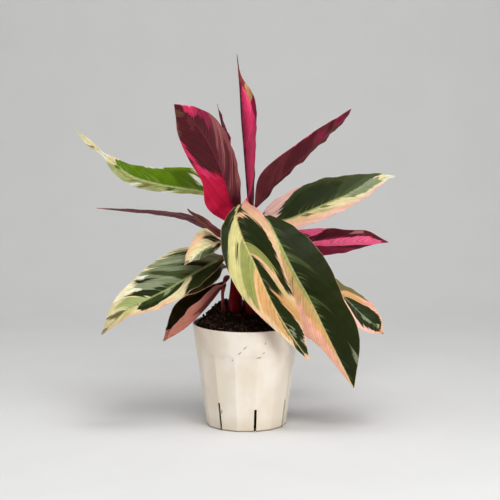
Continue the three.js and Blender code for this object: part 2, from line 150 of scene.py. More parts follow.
# ---------------------------------------------------------------- soil
SOIL = {
    "edge": 112.5,
    "mound": 124,
    "fullness": 3,
    # A heap behind the stems: its middle, its reach to the sides and to the back, and its height.
    "heap": {"x": -22, "y": 30, "wide": 28, "deep": 18, "height": 15},
    # Each lump wave: times round, radians for each mm outwards, start and size in mm.
    "lumps": [(3, 0.31, 0, 0.9), (5, -0.47, 1, 0.9), (9, 0.83, 2, 0.65)],
    "lumps_start": 3,
    "lumps_end": 6,
    "lumps_radius": 57,
    "clear": 0.4,
    "rings": 84,
    "spokes": 240,
    "grain": 3.2,  # size of the crumbs that the surface is made of
    "layers": [(1, 1), (2.3, 0.55), (4.7, 0.3)],  # how much finer each layer of them is, and its height
    "relief": 1.5,
    "fade": 2,  # width of the smooth edge beside the pot's wall
}
LITTER_CLEAR = 2.2  # how far from the pot's wall the litter stays
CRUMBS = {
    "seed": 11,
    "count": 1500,
    "size": (0.7, 2.3),
    "least": (0.7, 0.5, 0.3),  # smallest and largest shape, as shares of the size
    "most": (1.3, 1.0, 0.7),
    "uneven": 0.3,
    "lift": 0.2,
}
FIBRES = {
    "seed": 23,
    "count": 170,
    "length": (4, 13),
    "radius": (0.16, 0.34),
    "steps": 6,
    "bend": 0.35,
    "wall": 1.5,  # how far from the pot's wall a fibre stays
    "lift": 0.8,  # height above the surface, as a share of its relief, and how much that varies
    "rise": (-0.3, 1.0),
    "taper": 0.4,
    "mesh": (5, 9),  # sides and steps of the rod
}
PEAT = {
    "sockets": {"IOR": 1.4, "Specular_IOR_Level": 0.1},
    "noise": {"clods": (2.2, 4, 0.6), "grit": (0.6, 3)},
    "coats": [("brown", "clods", 0.4, 0.7, 1), ("pale", "grit", 0.64, 0.74, 0.5)],
    "roughness": (0.75, 0.95),
    "relief": 0.3,
}
LITTER_COAT = ("pale", "shade", 0.7, 1, 0.6)  # each crumb and each fibre has its own shade
SOIL_COLOURS = {
    "soil_surface": {"base": "#0f0a07", "brown": "#241810", "pale": "#3e2c1f"},
    "crumbs": {"base": "#110b08", "brown": "#2f2016", "pale": "#503a2a"},
    "fibres": {"base": "#3a281a", "brown": "#7a5c40", "pale": "#b4946a"},
}

# ---------------------------------------------------------------- leaves
BLADE = {
    "rows": 104,
    "half_columns": 24,
    "spread": (0.25, 1.6),  # share of the columns' even spacing, and power of the rest of it
    "thickness": 0.5,
    "margin_thickness": 0.26,
    "rib_depth": 1.1,
    "rib_width": 1.3,
    "groove_depth": 0.45,
    "groove_width": 1.2,
    "joint_swell": 1.3,
    "joint_reach": 0.06,
    "joint_half_width": 2.4,
    "tip_half_width": 0.4,
    "fold_half_width": 12,
    "vein_lean": 2.4,  # how far a side vein runs to the tip before it meets the edge, in half-widths
    "vein_curve": 1.5,  # power of that run: a side vein leaves the midrib steeply and bends forwards
    "rib_taper": 0.85,
    "groove_taper": 0.6,
    "line_taper": 0.8,  # how much narrower the line along the midrib is at the tip
    "pleat": (8.5, 0.2),  # length and height of the pleats between the main side veins
    "waves": (27, 0.9),  # length and height of the waves at the edge
    "second_wave": (1.63, 0.6),  # how much shorter and lower the waves that break up their rhythm are
    "half_shift": 1.7,  # how far the waves are shifted on each half, one way and the other, in radians
}

# Upper and lower colour of each pigment of the leaves; grey and sage are painted sheen, not pigment.
PIGMENTS = {
    "deep": ("#1e290b", "#4a1920"),
    "forest": ("#323f1c", "#521b22"),
    "green": ("#3b4a26", "#5b1d26"),
    "moss": ("#466408", "#5b1d26"),
    "bright": ("#587c0a", "#5b1d26"),
    # painted sheen, pale patches where the waxy skin shines: this colour and the next
    "sage_sheen": ("#707c5c", "#6a3238"),
    "grey_sheen": ("#7f8a6c", "#7d474c"),
    "lime": ("#8e9350", "#8e2f41"),
    "pistachio": ("#a3ae72", "#c22a4c"),
    "cream": ("#ddcfa2", "#ea5f86"),
    "yellow": ("#c8bf80", "#c22a4c"),
    "peach": ("#e8bb94", "#ef8fa0"),
    "blush": ("#e0b3a8", "#a86e6c"),
    "salmon": ("#e2a78f", "#d94a6c"),
    "orange": ("#d0a068", "#b0584c"),
    "tan": ("#ba9862", "#9c5040"),
    "white": ("#e2dfcf", "#eeb9c4"),
    "ivory": ("#efe3bc", "#eeb9c4"),
    "olive": ("#6f6c42", "#5a3a2e"),
    "dusty": ("#b0645f", "#7a4344"),
    "dusk": ("#7c3038", "#5c262c"),
    "rust": ("#bc7868", "#bc7868"),
    "crimson": ("#c83050", "#b4123a"),
    "cerise": ("#c02c58", "#c02c58"),
    "rose": ("#fc6894", "#fc6894"),
    "magenta": ("#a02a4c", "#a02a4c"),
    "wine": ("#7c1c3a", "#7c1c3a"),
}
# The grain of a blade: its size across the side veins and along them, its detail, and how far it
# frays the outline of a stroke.
GRAIN = {
    "streaks": (3.2, 34, 2, 2.4),
    "drift": (15, 45, 1, 1.8),
    "threads": (1, 36, 2, 0.9),
}
GRAIN_SHIFT = (3.1, 5.7, 0)  # from one leaf to the next, so that no two are streaked alike
# Side veins and what else varies the shade of a blade. `thread_contrast` and `roughness` have a value
# for the upper side and one for the under side.
VEINS = {
    "spacing": 6.5,
    "line_run": 60,  # the length over which a side vein wanders
    "line_waver": {"Distortion": 1.6, "Detail": 1.0, "Detail Scale": 0.4},
    "line_crest": (0.6, 1),  # the part of a side vein's wave that shows
    "line_contrast": 0.14,
    "line_relief": 0.6,
    "relief": 0.12,
    "thread_contrast": (0.6, 1.4),
    "drift_contrast": 0.5,
    "mottle": (7, 3),
    "mottle_contrast": 0.4,
    "roughness": ((0.36, 0.48), (0.44, 0.56)),
    # Near the midrib some streaks take on its colour: from how far out, which ones and how much.
    "pale_reach": (18, 2),
    "pale_streaks": (0.5, 0.72),
    "pale_share": 0.3,
}
WAVES_PER_UNIT = 20 / math.tau  # of the wave texture at scale 1
# Lines of another colour along the midrib and the edge: how far out each ends, how near it is full,
# how strong it is, and how far the grain moves it.
LINES = {"rib": (2.6, 0.3, 0.9, 0.9), "edge": (1.35, 0.7, 0.6, 1.6)}
# A waxy skin over flesh that lets some light through.
LEAF_SKIN = {
    "IOR": 1.4,
    "Specular_IOR_Level": 0.13,
    "Subsurface_Weight": 0.3,
    "Subsurface_Radius": (1, 0.6, 0.5),
    "Subsurface_Scale": 0.002,
}
STROKE_REACH = (0.035, 0.22)  # how far the grain frays a stroke's ends, along the leaf and across it
STROKE_TO_RIB = 0.08  # a stroke that comes this near the midrib runs up to it
STROKE_EDGE = 0.22  # softness of a stroke's outline
FAR = 2  # a stroke's field runs from -FAR, outside it, to FAR

EVERY = (-50, 110)  # every side vein of the leaf


def band(low, high):
    """Stations of a stroke from edge to edge."""
    return (-120, low, high), (120, low, high)


# `midrib`, `face`, `left` and `right` are those of the leaf's solid. `paint` holds strokes of a
# pigment, each with stations: a place across the leaf, from -100 at the left edge to 100 at the
# right, and the lowest and highest side vein that it covers there, in hundredths of the leaf. A
# later stroke lies over an earlier one. `rib_reach` widens the line along the midrib, and `waves`,
# `pleats` and `joint_half_width` replace the leaf's values in BLADE.
LEAVES = {
    "front_left": {
        "midrib": [(-4, -2, 239), (-6, -12, 249), (-11, -28, 239), (-4, -48, 218), (9, -63, 192),
                   (28, -74, 151), (49, -76, 116), (69, -70, 86)],
        "face": [(-88, 78), (-80, 9)],
        "left": {"width": [10, 22, 32, 33, 28, 23, 13], "fold": (60, 12), "curl": (10, -16)},
        "right": {"width": [3, 7, 21, 29, 29, 17, 7], "fold": (13, 4), "curl": (-24, -25)},
        "slot": "leaf_green", "ground": "peach", "rib": "yellow", "edge": "peach",
        "rib_reach": 1.3,
        "paint": [
            ("salmon", (-120, -50, 5), (-40, -50, 16)),
            ("yellow", (0, -50, 50), (120, -50, 45)),
            ("deep", (-45, 12, 20), (-10, 17, 26), (30, 19, 27)),
            ("orange", (-120, 52, 70), (-50, 56, 68), (-20, 60, 67)),
            ("yellow", (-90, 50, 57), (-40, 52, 56)),
            ("deep", (-95, 36, 50), (-78, 20, 53), (-55, 22, 47), (-30, 27, 47), (-5, 30, 47)),
            ("lime", (-60, 46, 51), (-5, 45, 53)),
            ("deep", (-55, 57, 60), (-30, 54, 63.5), (-4, 52.5, 65)),
            ("deep", (-90, 71, 84), (-50, 67, 90), (-4, 62.5, 93)),
            ("grey_sheen", (-80, 82, 88), (-50, 84, 88)),
            ("grey_sheen", (-38, 80, 83), (-10, 82, 90)),
            ("deep", (20, 25, 30), (50, 19, 31), (74, 12, 28), (110, 2, 22)),
            ("lime", (3, 43, 58), (75, 43, 56)),
            ("green", (30, 40, 42), (55, 39, 41)),
            ("orange", (5, 60, 86), (65, 60, 84)),
            ("cream", (75, 62, 90), (120, 70, 95)),
            ("deep", (-120, 88, 96), (0, 86, 96), (120, 88, 96)),
            ("olive", (2, 76, 90), (30, 82, 90)),
        ],
    },
    "front_right": {
        "midrib": [(13, 2, 226), (22, -7, 233), (36, -28, 211), (52, -46, 181), (71, -59, 149),
                   (91, -67, 109), (118, -63, 54)],
        "face": [(-72, 55), (-90, 0)],
        "left": {"width": [6, 23, 34, 37, 34, 33], "fold": (15, 22), "curl": (-15, -3)},
        "right": {"width": [17, 29, 33, 32, 30, 12], "fold": (12, 7), "curl": (-30, -21)},
        "slot": "leaf_green", "ground": "peach", "rib": "pistachio", "edge": "peach",
        "rib_reach": 1.1,
        "paint": [
            ("salmon", (20, 50, 95), (120, 35, 95)),
            ("orange", (0, 0, 92), (30, 30, 85)),
            ("tan", (0, 30, 82), (40, 40, 62)),
            ("yellow", (2, 28, 38), (30, 30, 36)),
            ("lime", (2, 34, 68), (11, 38, 62)),
            ("olive", (12, 49.5, 52), (40, 48, 50)),
            ("deep", (-130, -50, 120), (0, -50, 120)),
            ("grey_sheen", (-100, 70, 78), (-65, 73, 77)),
            ("green", (-50, 61, 63), (-3, 65, 68)),
            ("green", (-40, 48, 50), (-3, 51, 54)),
            ("green", (-50, 38, 40), (-3, 41, 44)),
            ("green", (-40, 88, 90), (-3, 91, 95)),
        ],
    },
    "left_large": {
        "midrib": [(-23, -7, 191), (-54, -27, 177), (-81, -43, 163), (-107, -52, 151),
                   (-131, -56, 139), (-159, -50, 111)],
        "face": [(-103, 51), (-109, 30)],
        "left": {"width": [19, 25, 25, 20, 9], "fold": (18, 27), "curl": (-10, -5)},
        "right": {"width": [30, 35, 32, 25, 16], "fold": (32, 28), "curl": (0, -3)},
        "slot": "leaf_green", "ground": "cream", "rib": "pistachio", "edge": "peach",
        "rib_reach": 1.5,
        "paint": [
            ("peach", (-120, 10, 110), (-75, 20, 110)),
            ("yellow", (-90, 66, 80), (0, 72, 80)),
            ("deep", (-110, -50, 2), (-74, -50, 13), (-50, -50, 20), (0, -50, 23.5)),
            ("deep", (-80, 43, 51), (-52, 31, 63), (-30, 29, 67), (0, 30, 67)),
            ("forest", (-45, 36, 60), (0, 36, 60)),
            ("grey_sheen", (-30, 40, 43), (-5, 43, 47)),
            ("grey_sheen", (-25, 65, 68), (-3, 67, 73)),
            ("olive", (0, 80, 88), (50, 82, 86), (90, 80, 83)),
            ("pistachio", (3, 58, 78), (60, 64, 75)),
            ("ivory", (60, 50, 60), (75, 38, 64), (110, 34, 58)),
            # painted sheen: silvery streaks over much of this half of the blade
            ("sage_sheen", (3, -50, 42), (70, -50, 40), (95, -50, 26)),
            ("forest", (30, -16, -4), (90, -30, -10)),
            ("forest", (3, 22, 32), (60, 17, 24), (80, 16, 20)),
            ("deep", (3, 36, 58), (30, 40, 61), (45, 50, 61), (62, 56, 60)),
            ("grey_sheen", (30, 30, 50), (75, 36, 50)),
            ("deep", (5, 10, 16), (70, 6, 11)),
            ("grey_sheen", (20, 2, 5), (80, 0, 3)),
            # painted highlight: a near-white streak in the painted sheen
            ("white", (50, 48, 53), (72, 46, 50)),
            ("deep", (55, 30, 36), (90, 30, 38)),
            ("white", (76, 22, 29), (95, 22, 27)),
            ("olive", *band(95, 110)),
        ],
    },
    "left_small": {
        "midrib": [(-27, -20, 210), (-39, -34, 209), (-50, -46, 205), (-59, -54, 198),
                   (-67, -58, 190)],
        "face": [(-93, 30), (-122, 31)],
        "left": {"width": [9, 11, 10, 5], "fold": (0, 0), "curl": (-19, -19)},
        "right": {"width": [19, 17, 11, 8], "fold": (38, 9), "curl": (-28, -51)},
        "slot": "leaf_green", "ground": "cream", "rib": "cream", "edge": "peach",
        "paint": [
            ("peach", (40, 0, 70), (120, -50, 80)),
            ("grey_sheen", (-120, 5, 68), (-60, 10, 68), (-25, 20, 60)),
            ("green", (-120, -20, 35), (-70, 2, 40), (-45, 10, 42)),
            ("green", (-80, 45, 50), (-40, 50, 55)),
            ("deep", (-90, -10, 6), (0, 0, 10), (20, -10, 10)),
            ("deep", (2, 6, 18), (20, 2, 17), (50, -10, 6)),
            ("yellow", (10, 35, 50), (50, 35, 50)),
            ("white", (-55, 68, 75), (-5, 70, 76)),
            ("olive", (-120, 80, 110), (0, 84, 110), (120, 88, 110)),
        ],
    },
    "left_under": {
        "midrib": [(-21, 9, 177), (-33, 2, 181), (-47, -6, 176), (-60, -14, 166), (-75, -22, 154),
                   (-92, -28, 139)],
        "face": [(-112, 65), (-108, 34)],
        "left": {"width": [13, 24, 26, 18, 8], "fold": (14, 8), "curl": (-15, -20)},
        "right": {"width": [10, 19, 20, 17, 10], "fold": (10, 10), "curl": (-20, -20)},
        "slot": "leaf_green", "ground": "forest", "rib": "lime", "edge": "peach",
        "paint": [
            ("peach", (-120, *EVERY), (-97, *EVERY)),
            ("green", (-90, 20, 24), (-10, 30, 34)),
            ("cream", (10, 50, 62), (80, 50, 60)),
            ("yellow", (20, 20, 28), (100, 20, 26)),
        ],
    },
    "left_low": {
        "midrib": [(-24, 2, 161), (-36, -9, 145), (-51, -20, 129), (-67, -27, 115),
                   (-80, -32, 107), (-92, -34, 101)],
        "face": [(-137, 52), (-137, 42)],
        "left": {"width": [17, 24, 27, 24, 15], "fold": (60, 58), "curl": (6, 6)},
        "right": {"width": [15, 24, 27, 22, 12], "fold": (60, 58), "curl": (6, 0)},
        "slot": "leaf_green", "ground": "deep", "rib": "lime", "edge": "peach",
        "paint": [
            ("rust", (-120, *EVERY), (0, *EVERY)),
            ("dusty", (-40, -50, 30), (0, -50, 40)),
            ("rust", (0, 68, 110), (120, 66, 110)),
        ],
    },
    "right_low": {
        "midrib": [(73, 2, 177), (94, -14, 161), (110, -26, 147), (125, -34, 133), (139, -39, 122),
                   (151, -41, 110)],
        "face": [(-58, 60), (-65, 26)],
        "left": {"width": [12, 17, 21, 19, 12], "fold": (9, 11), "curl": (-18, -19)},
        "right": {"width": [12, 15, 14, 17, 13], "fold": (10, 5), "curl": (-15, -24)},
        "slot": "leaf_green", "ground": "salmon", "rib": "grey_sheen", "edge": "peach",
        "paint": [
            ("blush", (45, 30, 75), (120, 20, 80)),
            ("orange", (-60, 20, 38), (5, 35, 40)),
            ("olive", (-120, -20, 12), (-50, 10, 20), (-20, 22, 28)),
            ("deep", (-85, 50, 76), (-60, 42, 84), (-30, 38, 92), (20, 38, 94), (42, 42, 90),
             (60, 50, 82)),
            ("sage_sheen", (2, 60, 80), (22, 64, 76)),
            ("grey_sheen", (2, 66, 74), (18, 68, 73)),
            ("pistachio", (-42, 81, 84), (-14, 84, 88)),
            ("olive", *band(96, 110)),
        ],
    },
    "right_top": {
        "midrib": [(18, 16, 233), (42, 30, 227), (70, 44, 235), (100, 58, 246), (130, 70, 256),
                   (156, 79, 268), (171, 83, 270)],
        "face": [(-80, 60), (-78, 47)],
        "left": {"width": [34, 42, 39, 31, 19, 5], "fold": (-5, 12), "curl": (-18, 2)},
        "right": {"width": [18, 21, 22, 19, 12, 5], "fold": (6, 14), "curl": (-14, -6)},
        "slot": "leaf_green", "ground": "cream", "rib": "lime", "edge": "blush",
        "paint": [
            ("peach", (10, -50, 30), (120, -50, 50)),
            ("blush", (75, -10, 75), (120, -50, 80)),
            ("pistachio", (20, 30, 36), (60, 29, 34)),
            ("grey_sheen", (-40, 70, 80), (0, 50, 80), (50, 60, 80)),
            ("pistachio", (0, 10, 62), (13, 15, 58)),
            ("green", (-120, -50, 82), (-60, -50, 76), (-15, -50, 64), (0, -50, 56)),
            ("forest", (-120, -50, 55), (-60, -50, 60), (0, -50, 54)),
            ("deep", (-80, 0, 36), (-15, 10, 50), (0, 15, 48)),
            ("blush", (-120, -100, -12), (-85, -100, -12), (-50, -100, 3), (-20, -100, 9),
             (0, -100, 13)),
            ("olive", (14, 25, 31), (38, 24, 28)),
            ("olive", (12, 38, 41), (35, 37.5, 39.5)),
            ("olive", (25, 56, 59), (42, 54, 56)),
            ("white", *band(84, 110)),
        ],
    },
    "right_pink": {
        "midrib": [(36, 14, 209), (60, 4, 206), (82, -4, 206), (106, -11, 208), (132, -16, 210),
                   (157, -18, 209)],
        "face": [(80, 38), (80, 50)],
        "left": {"width": [12, 20, 20, 17, 9], "fold": (-4, 0), "curl": (-4, 0)},
        "right": {"width": [14, 18, 19, 16, 13], "fold": (12, 15), "curl": (12, 14)},
        "slot": "leaf_crimson", "ground": "deep", "rib": "rose", "edge": "salmon",
        "waves": 0.5, "pleats": 0.06,
        "paint": [
            ("wine", (-110, -10, 45), (-60, 10, 50), (-30, 20, 40)),
            ("wine", (15, 30, 50), (50, 48, 62)),
            ("dusk", (55, 60, 90), (120, 60, 90)),
            ("rose", (-95, 74, 86), (-40, 62, 93), (-20, 30, 93), (10, 30, 93), (30, 50, 90),
             (48, 62, 86)),
            ("blush", (68, 50, 64), (95, 46, 54)),
            ("rose", (55, 16, 23), (80, 0, 18), (110, -30, 10)),
            ("deep", *band(96, 110)),
        ],
    },
    "right_high": {
        "midrib": [(11, 16, 244), (31, 12, 269), (55, 5, 293), (78, -2, 317), (98, -8, 337),
                   (115, -14, 356)],
        "face": [(110, 30), (106, 27)],
        "left": {"width": [12, 13, 14, 16, 9], "fold": (39, 39), "curl": (0, 0)},
        "right": {"width": [18, 19, 15, 11, 6], "fold": (41, 40), "curl": (0, 0)},
        "slot": "leaf_maroon", "ground": "dusk", "rib": "dusk", "edge": "salmon",
        "paint": [
            ("deep", (-120, -10, 20), (0, 10, 36)),
            ("deep", (0, 30, 56), (120, 20, 50)),
            ("wine", (-35, 62, 70), (50, 60, 70)),
            ("deep", (-120, 70, 76), (120, 70, 78)),
            ("wine", (-120, 80, 92), (30, 80, 90), (120, 80, 88)),
            ("rose", (97, 20, 50), (120, 20, 50)),
        ],
    },
    "tall_red": {
        "midrib": [(-9, 4, 223), (-19, -10, 260), (-30, -23, 295), (-45, -32, 326), (-61, -37, 348),
                   (-78, -36, 363)],
        "face": [(101, 3), (80, 8)],
        "left": {"width": [15, 21, 23, 22, 13], "fold": (15, 12), "curl": (18, 18)},
        "right": {"width": [27, 24, 27, 25, 17], "fold": (0, -8), "curl": (-6, -4)},
        "slot": "leaf_crimson", "ground": "deep", "rib": "wine", "edge": "salmon",
        "rib_reach": 0.6,
        "paint": [
            ("wine", (-120, 44, 80), (-50, 52, 80)),
            ("magenta", (-120, 58, 88), (-50, 70, 87), (-15, 79, 87)),
            ("cerise", (-110, 66, 86), (-50, 76, 86), (-25, 81, 86)),
            ("peach", (-120, 66, 100), (-88, 74, 88)),
            ("dusk", (-70, 10, 50), (0, 17, 40)),
            ("dusty", (-120, -10, 50), (-75, 5, 45)),
            ("deep", (-75, 24, 29), (-5, 25, 31)),
            ("dusty", (-110, 31, 36), (-20, 34, 37)),
            ("dusty", (-90, 18, 22), (-10, 20, 23)),
            ("dusty", (-90, 42, 45), (-30, 44, 46)),
            ("blush", (-110, 32, 34.5), (-50, 34.5, 35.5)),
            ("crimson", (0, -50, 32), (26, -50, 32), (50, -50, 27), (75, -50, 20), (110, -50, 2)),
            ("cerise", (20, 28, 30), (60, 20, 24), (95, 7, 12)),
            ("cerise", (80, 20, 36), (120, 15, 38)),
            ("dusk", (8, 70, 82), (28, 66, 74)),
            ("olive", (10, 84, 93), (120, 76, 93)),
            ("olive", (85, 45, 70), (120, 40, 70)),
        ],
    },
    "tall_behind": {
        "midrib": [(-9, 16, 243), (-15, 22, 275), (-21, 25, 307), (-27, 26, 334), (-32, 25, 358)],
        "face": [(9, 5), (9, 5)],
        "left": {"width": [11, 15, 16, 13, 8], "fold": (14, 14), "curl": (0, 0)},
        "right": {"width": [11, 15, 16, 13, 8], "fold": (14, 14), "curl": (0, 0)},
        "slot": "leaf_maroon", "ground": "dusk", "rib": "deep", "edge": "salmon",
        "paint": [
            ("dusty", (10, 35, 42), (90, 30, 36)),
            ("dusty", (-90, 55, 62), (-20, 62, 70)),
            ("wine", (-90, 30, 36), (-10, 36, 42)),
        ],
    },
    "left_green": {
        "midrib": [(-23, 22, 250), (-49, 36, 258), (-74, 47, 261), (-101, 56, 265), (-130, 63, 273),
                   (-155, 68, 291), (-174, 70, 306), (-193, 68, 324)],
        "face": [(-82, 41), (-85, 22)],
        "left": {"width": [4, 6, 8, 10, 11, 9, 2, 4], "fold": (0, 0), "curl": (-33, -35)},
        "right": {"width": [13, 24, 23, 18, 14, 7, 2, 3], "fold": (21, 9), "curl": (8, 0)},
        "slot": "leaf_green", "ground": "cream", "rib": "pistachio", "edge": "white",
        "paint": [
            ("pistachio", (-120, 5, 68), (0, 8, 68)),
            ("bright", (0, 10, 68), (50, 5, 68), (85, 0, 62), (120, -10, 50)),
            ("moss", (10, 10, 30), (80, 0, 20)),
            ("white", (35, 11, 12.5), (70, 5, 6.5)),
            ("white", (96, 20, 34), (120, 15, 34)),
            ("lime", (-50, 10, 62), (-20, 12, 64)),
            ("moss", (-35, 61, 66), (-2, 62, 68)),
            ("olive", (-80, 48, 50), (-15, 52, 55)),
            ("white", (-100, 42, 45), (-40, 48, 50)),
            ("olive", (-100, 38, 40), (-30, 44, 47)),
            ("moss", (-80, 26, 30), (-20, 31, 36)),
            ("white", (-120, 22, 30), (-70, 26, 30)),
            ("lime", (-100, 10, 20), (-30, 14, 26)),
            ("white", *band(72, 80)),
            ("olive", (-120, 81, 85), (0, 84, 86)),
        ],
    },
    "left_edge": {
        "midrib": [(-25, 6, 209), (-45, 0, 224), (-67, -4, 234), (-95, -6, 239), (-129, -4, 242),
                   (-166, 2, 244)],
        "face": [(90, 71), (90, 72)],
        "left": {"width": [18, 23, 24, 20, 12], "fold": (0, 0), "curl": (-4, -5)},
        "right": {"width": [17, 22, 22, 16, 12], "fold": (7, 2), "curl": (4, 0)},
        "slot": "leaf_maroon", "ground": "dusk", "rib": "dusty", "edge": "dusty",
        "waves": 0.25,
        "paint": [
            ("dusty", (-100, 30, 36), (-10, 36, 42)),
            ("dusty", (10, 55, 62), (90, 50, 55)),
            ("dusty", (-100, 70, 76), (10, 75, 80)),
            ("blush", *band(93, 110)),
        ],
    },
    "left_spike": {
        "midrib": [(-22, -30, 215), (-36, -37, 227), (-50, -42, 239), (-64, -45, 250)],
        "face": [(69, 33), (66, 35)],
        "left": {"width": [4, 4, 4, 2], "fold": (40, 40), "curl": (0, 0)},
        "right": {"width": [9, 9, 9, 7], "fold": (26, 28), "curl": (-12, -10)},
        "slot": "leaf_crimson", "ground": "dusty", "rib": "deep", "edge": "dusty",
        "paint": [
            ("olive", (-120, 45, 90), (40, 45, 85)),
            ("dusty", (70, 20, 50), (120, 20, 50)),
        ],
    },
    # The newest leaf, still rolled into a spear.
    "spear": {
        "midrib": [(4, 6, 237), (1, 9, 271), (-2, 11, 308), (-5, 12, 343), (-7, 12, 379),
                   (-10, 10, 414)],
        "face": [(-20, 0), (-20, 0)],
        "left": {"width": [12, 17, 22, 26, 16, 2], "fold": (0, 0), "curl": (195, 170)},
        "right": {"width": [8, 11, 15, 19, 18, 4], "fold": (0, 20), "curl": (150, 80)},
        "slot": "leaf_crimson", "ground": "magenta", "rib": "wine", "edge": "dusk",
        "joint_half_width": 6, "waves": 0.3,
        "paint": [
            ("cerise", (-120, 30, 74), (-50, 34, 70)),
            ("salmon", (-120, 42, 72), (-75, 44, 68)),
            ("deep", (-30, *EVERY), (50, *EVERY)),
            ("orange", (60, 56, 74), (120, 50, 70)),
            ("dusk", *band(74, 110)),
            ("deep", *band(-50, 8)),
        ],
    },
}

# ---------------------------------------------------------------- shoots
PETIOLE = {
    "radius": 1.9,
    "joint": 2.2,  # radius of the swollen joint below the blade
    "lead": 7,  # how far before the blade the joint starts
    "sink": 0.06,  # share of the midrib that the petiole reaches into the blade
    "neck": 0.95,  # share of the radius where the petiole meets the blade
    "end": 0.6,
    "sides": 20,
    "steps": 48,
    "groove": 0.16,
    "groove_width": 0.55,
}
SHEATH = {"sides": 32, "steps": 50}
SHOOT_MESH = {"voxel": 0.62, "soften": 0.5, "soften_rounds": 3}
STEM_SKIN = {
    "sockets": {"IOR": 1.42, "Specular_IOR_Level": 0.06},
    "noise": {"streaks": ((1.6, 1.6, 26), 3), "blotches": ((7, 7, 13), 2)},
    "coats": [
        ("maroon", "streaks", 0.38, 0.66, 1),
        # pale blotches: paler patches of the skin, partly painted highlights
        ("pale", "blotches", 0.5, 0.72, 1),
        # painted shade: darker towards the soil, where the stems stand close together under the leaves
        ("shade", "height", 150, 118, 0.6),
    ],
    "roughness": (0.34, 0.5),
    "relief": 0.25,
}
# `shade` is the colour of the painted shade low on the stems; `pale` is partly painted highlights.
STEM_COLOURS = {
    "thick_stem": {"base": "#5a0a10", "maroon": "#8a0f1a", "pale": "#9c2034", "shade": "#2a0d0e"},
    "thin_stem": {"base": "#6e2a2c", "maroon": "#9a4a4c", "pale": "#b06064", "shade": "#2a0d0e"},
}

# Each shoot is a sheath that splits into the petioles of its leaves, as in its solid.
SHOOTS = {
    "shoot_right": {
        "skin": "thick_stem",
        "sheath": [(7, -2, 104), (7, -2, 117), (7, -2, 130), (5, -2, 141), (0, -2, 153),
                   (-6, -2, 168), (-5, -1, 190)],
        "radius": [8, 8, 8, 7.5, 6.8, 5.6, 3.6],
        "petioles": {
            "spear": [(-6, -1, 176), (-2, 3, 206)],
            "right_high": [(-6, -1, 172), (3, 12, 214)],
            "right_top": [(-6, 0, 170), (4, 9, 212)],
            "right_pink": [(-6, 0, 166), (8, 10, 196)],
            "right_low": [(-5, 0, 160), (18, 9, 184), (46, 10, 190)],
            "front_right": [(-6, -2, 172), (1, 0, 206)],
            "front_left": [(-6, -2, 176), (-3, -3, 212)],
        },
    },
    "shoot_centre": {
        "skin": "thick_stem",
        "sheath": [(-12, 8, 106), (-12, 8, 121), (-12, 8, 136), (-12, 9, 160), (-13, 9, 188)],
        "radius": [8, 8, 8, 5.5, 3.6],
        "petioles": {
            "tall_red": [(-13, 9, 178), (-14, 8, 200)],
            "tall_behind": [(-13, 9, 178), (-12, 13, 214)],
            "left_green": [(-13, 9, 178), (-15, 14, 222)],
            "left_edge": [(-13, 9, 174), (-17, 0, 200)],
            "left_spike": [(-13, 8, 170), (-16, -16, 202)],
            "left_small": [(-13, 8, 166), (-16, -8, 202)],
            "left_large": [(-12, 8, 160), (-12, 2, 184)],
            "left_under": [(-12, 9, 156), (-12, 11, 168)],
        },
    },
    "shoot_left": {
        "skin": "thin_stem",
        "sheath": [(-25.5, 6, 112), (-25.5, 6, 121), (-25.5, 6, 130), (-26.5, 7, 145),
                   (-25, 8.5, 158)],
        "radius": [2.4, 2.4, 2.4, 1.8, 3.3],
        "petioles": {"left_low": [(-25.5, 8, 150), (-24, 12, 163)]},
    },
}


# ---------------------------------------------------------------- curves and numbers
def along(values, s):
    """Values that run smoothly through a list at even steps, for s from 0 to 1."""
    values = np.asarray(values, float)
    last = len(values) - 1
    before = 2 * values[:1] - values[1:2]
    after = 2 * values[-1:] - values[-2:-1]
    padded = np.concatenate([before, values, after])
    place = np.clip(s, 0, 1) * last
    k = np.minimum(place.astype(int), last - 1)
    u = place - k
    if values.ndim > 1:
        u = u[:, None]
    a, b, c, d = (padded[k + n] for n in range(4))
    return 0.5 * (2 * b + (c - a) * u + (2 * a - 5 * b + 4 * c - d) * u ** 2
                  + (3 * b - a - 3 * c + d) * u ** 3)


def unit(vectors):
    return vectors / np.linalg.norm(vectors, axis=-1, keepdims=True)


def direction_along(points, s):
    step = 1e-3
    return unit(along(points, np.minimum(s + step, 1)) - along(points, np.maximum(s - step, 0)))


def square_to(vectors, axis):
    """The part of the vectors that is square to the axis, at length 1."""
    return unit(vectors - (vectors * axis).sum(-1, keepdims=True) * axis)


def aim(azimuth, elevation):
    az, el = math.radians(azimuth), math.radians(elevation)
    return np.array([math.cos(az) * math.cos(el), math.sin(az) * math.cos(el), math.sin(el)])


def smooth(x):
    return x * x * (3 - 2 * x)


def tone(code):
    """The linear colour of a hex code."""
    parts = [int(code[k:k + 2], 16) / 255 for k in (1, 3, 5)]
    linear = [p / 12.92 if p <= 0.04045 else ((p + 0.055) / 1.055) ** 2.4 for p in parts]
    return (*linear, 1)


# ---------------------------------------------------------------- meshes and pieces
def new_mesh(name, points, faces):
    mesh = bpy.data.meshes.new(name)
    mesh.from_pydata((np.asarray(points) * MM).tolist(), [], faces)
    mesh.validate()
    mesh.update()
    return mesh


def new_object(name, mesh, materials, sharp_angle=40):
    piece = bpy.data.objects.new(name, mesh)
    bpy.context.scene.collection.objects.link(piece)
    for material in materials:
        mesh.materials.append(material)
    mesh.shade_smooth()
    mesh.set_sharp_from_angle(angle=math.radians(sharp_angle))
    return piece


def add_to_plant(piece, slot, *nodes):
    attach(piece, BODY)
    if nodes:
        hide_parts(*nodes)


def set_values(mesh, name, values):
    attribute = mesh.attributes.new(name, "FLOAT", "POINT")
    attribute.data.foreach_set("value", np.asarray(values, np.float32).ravel())


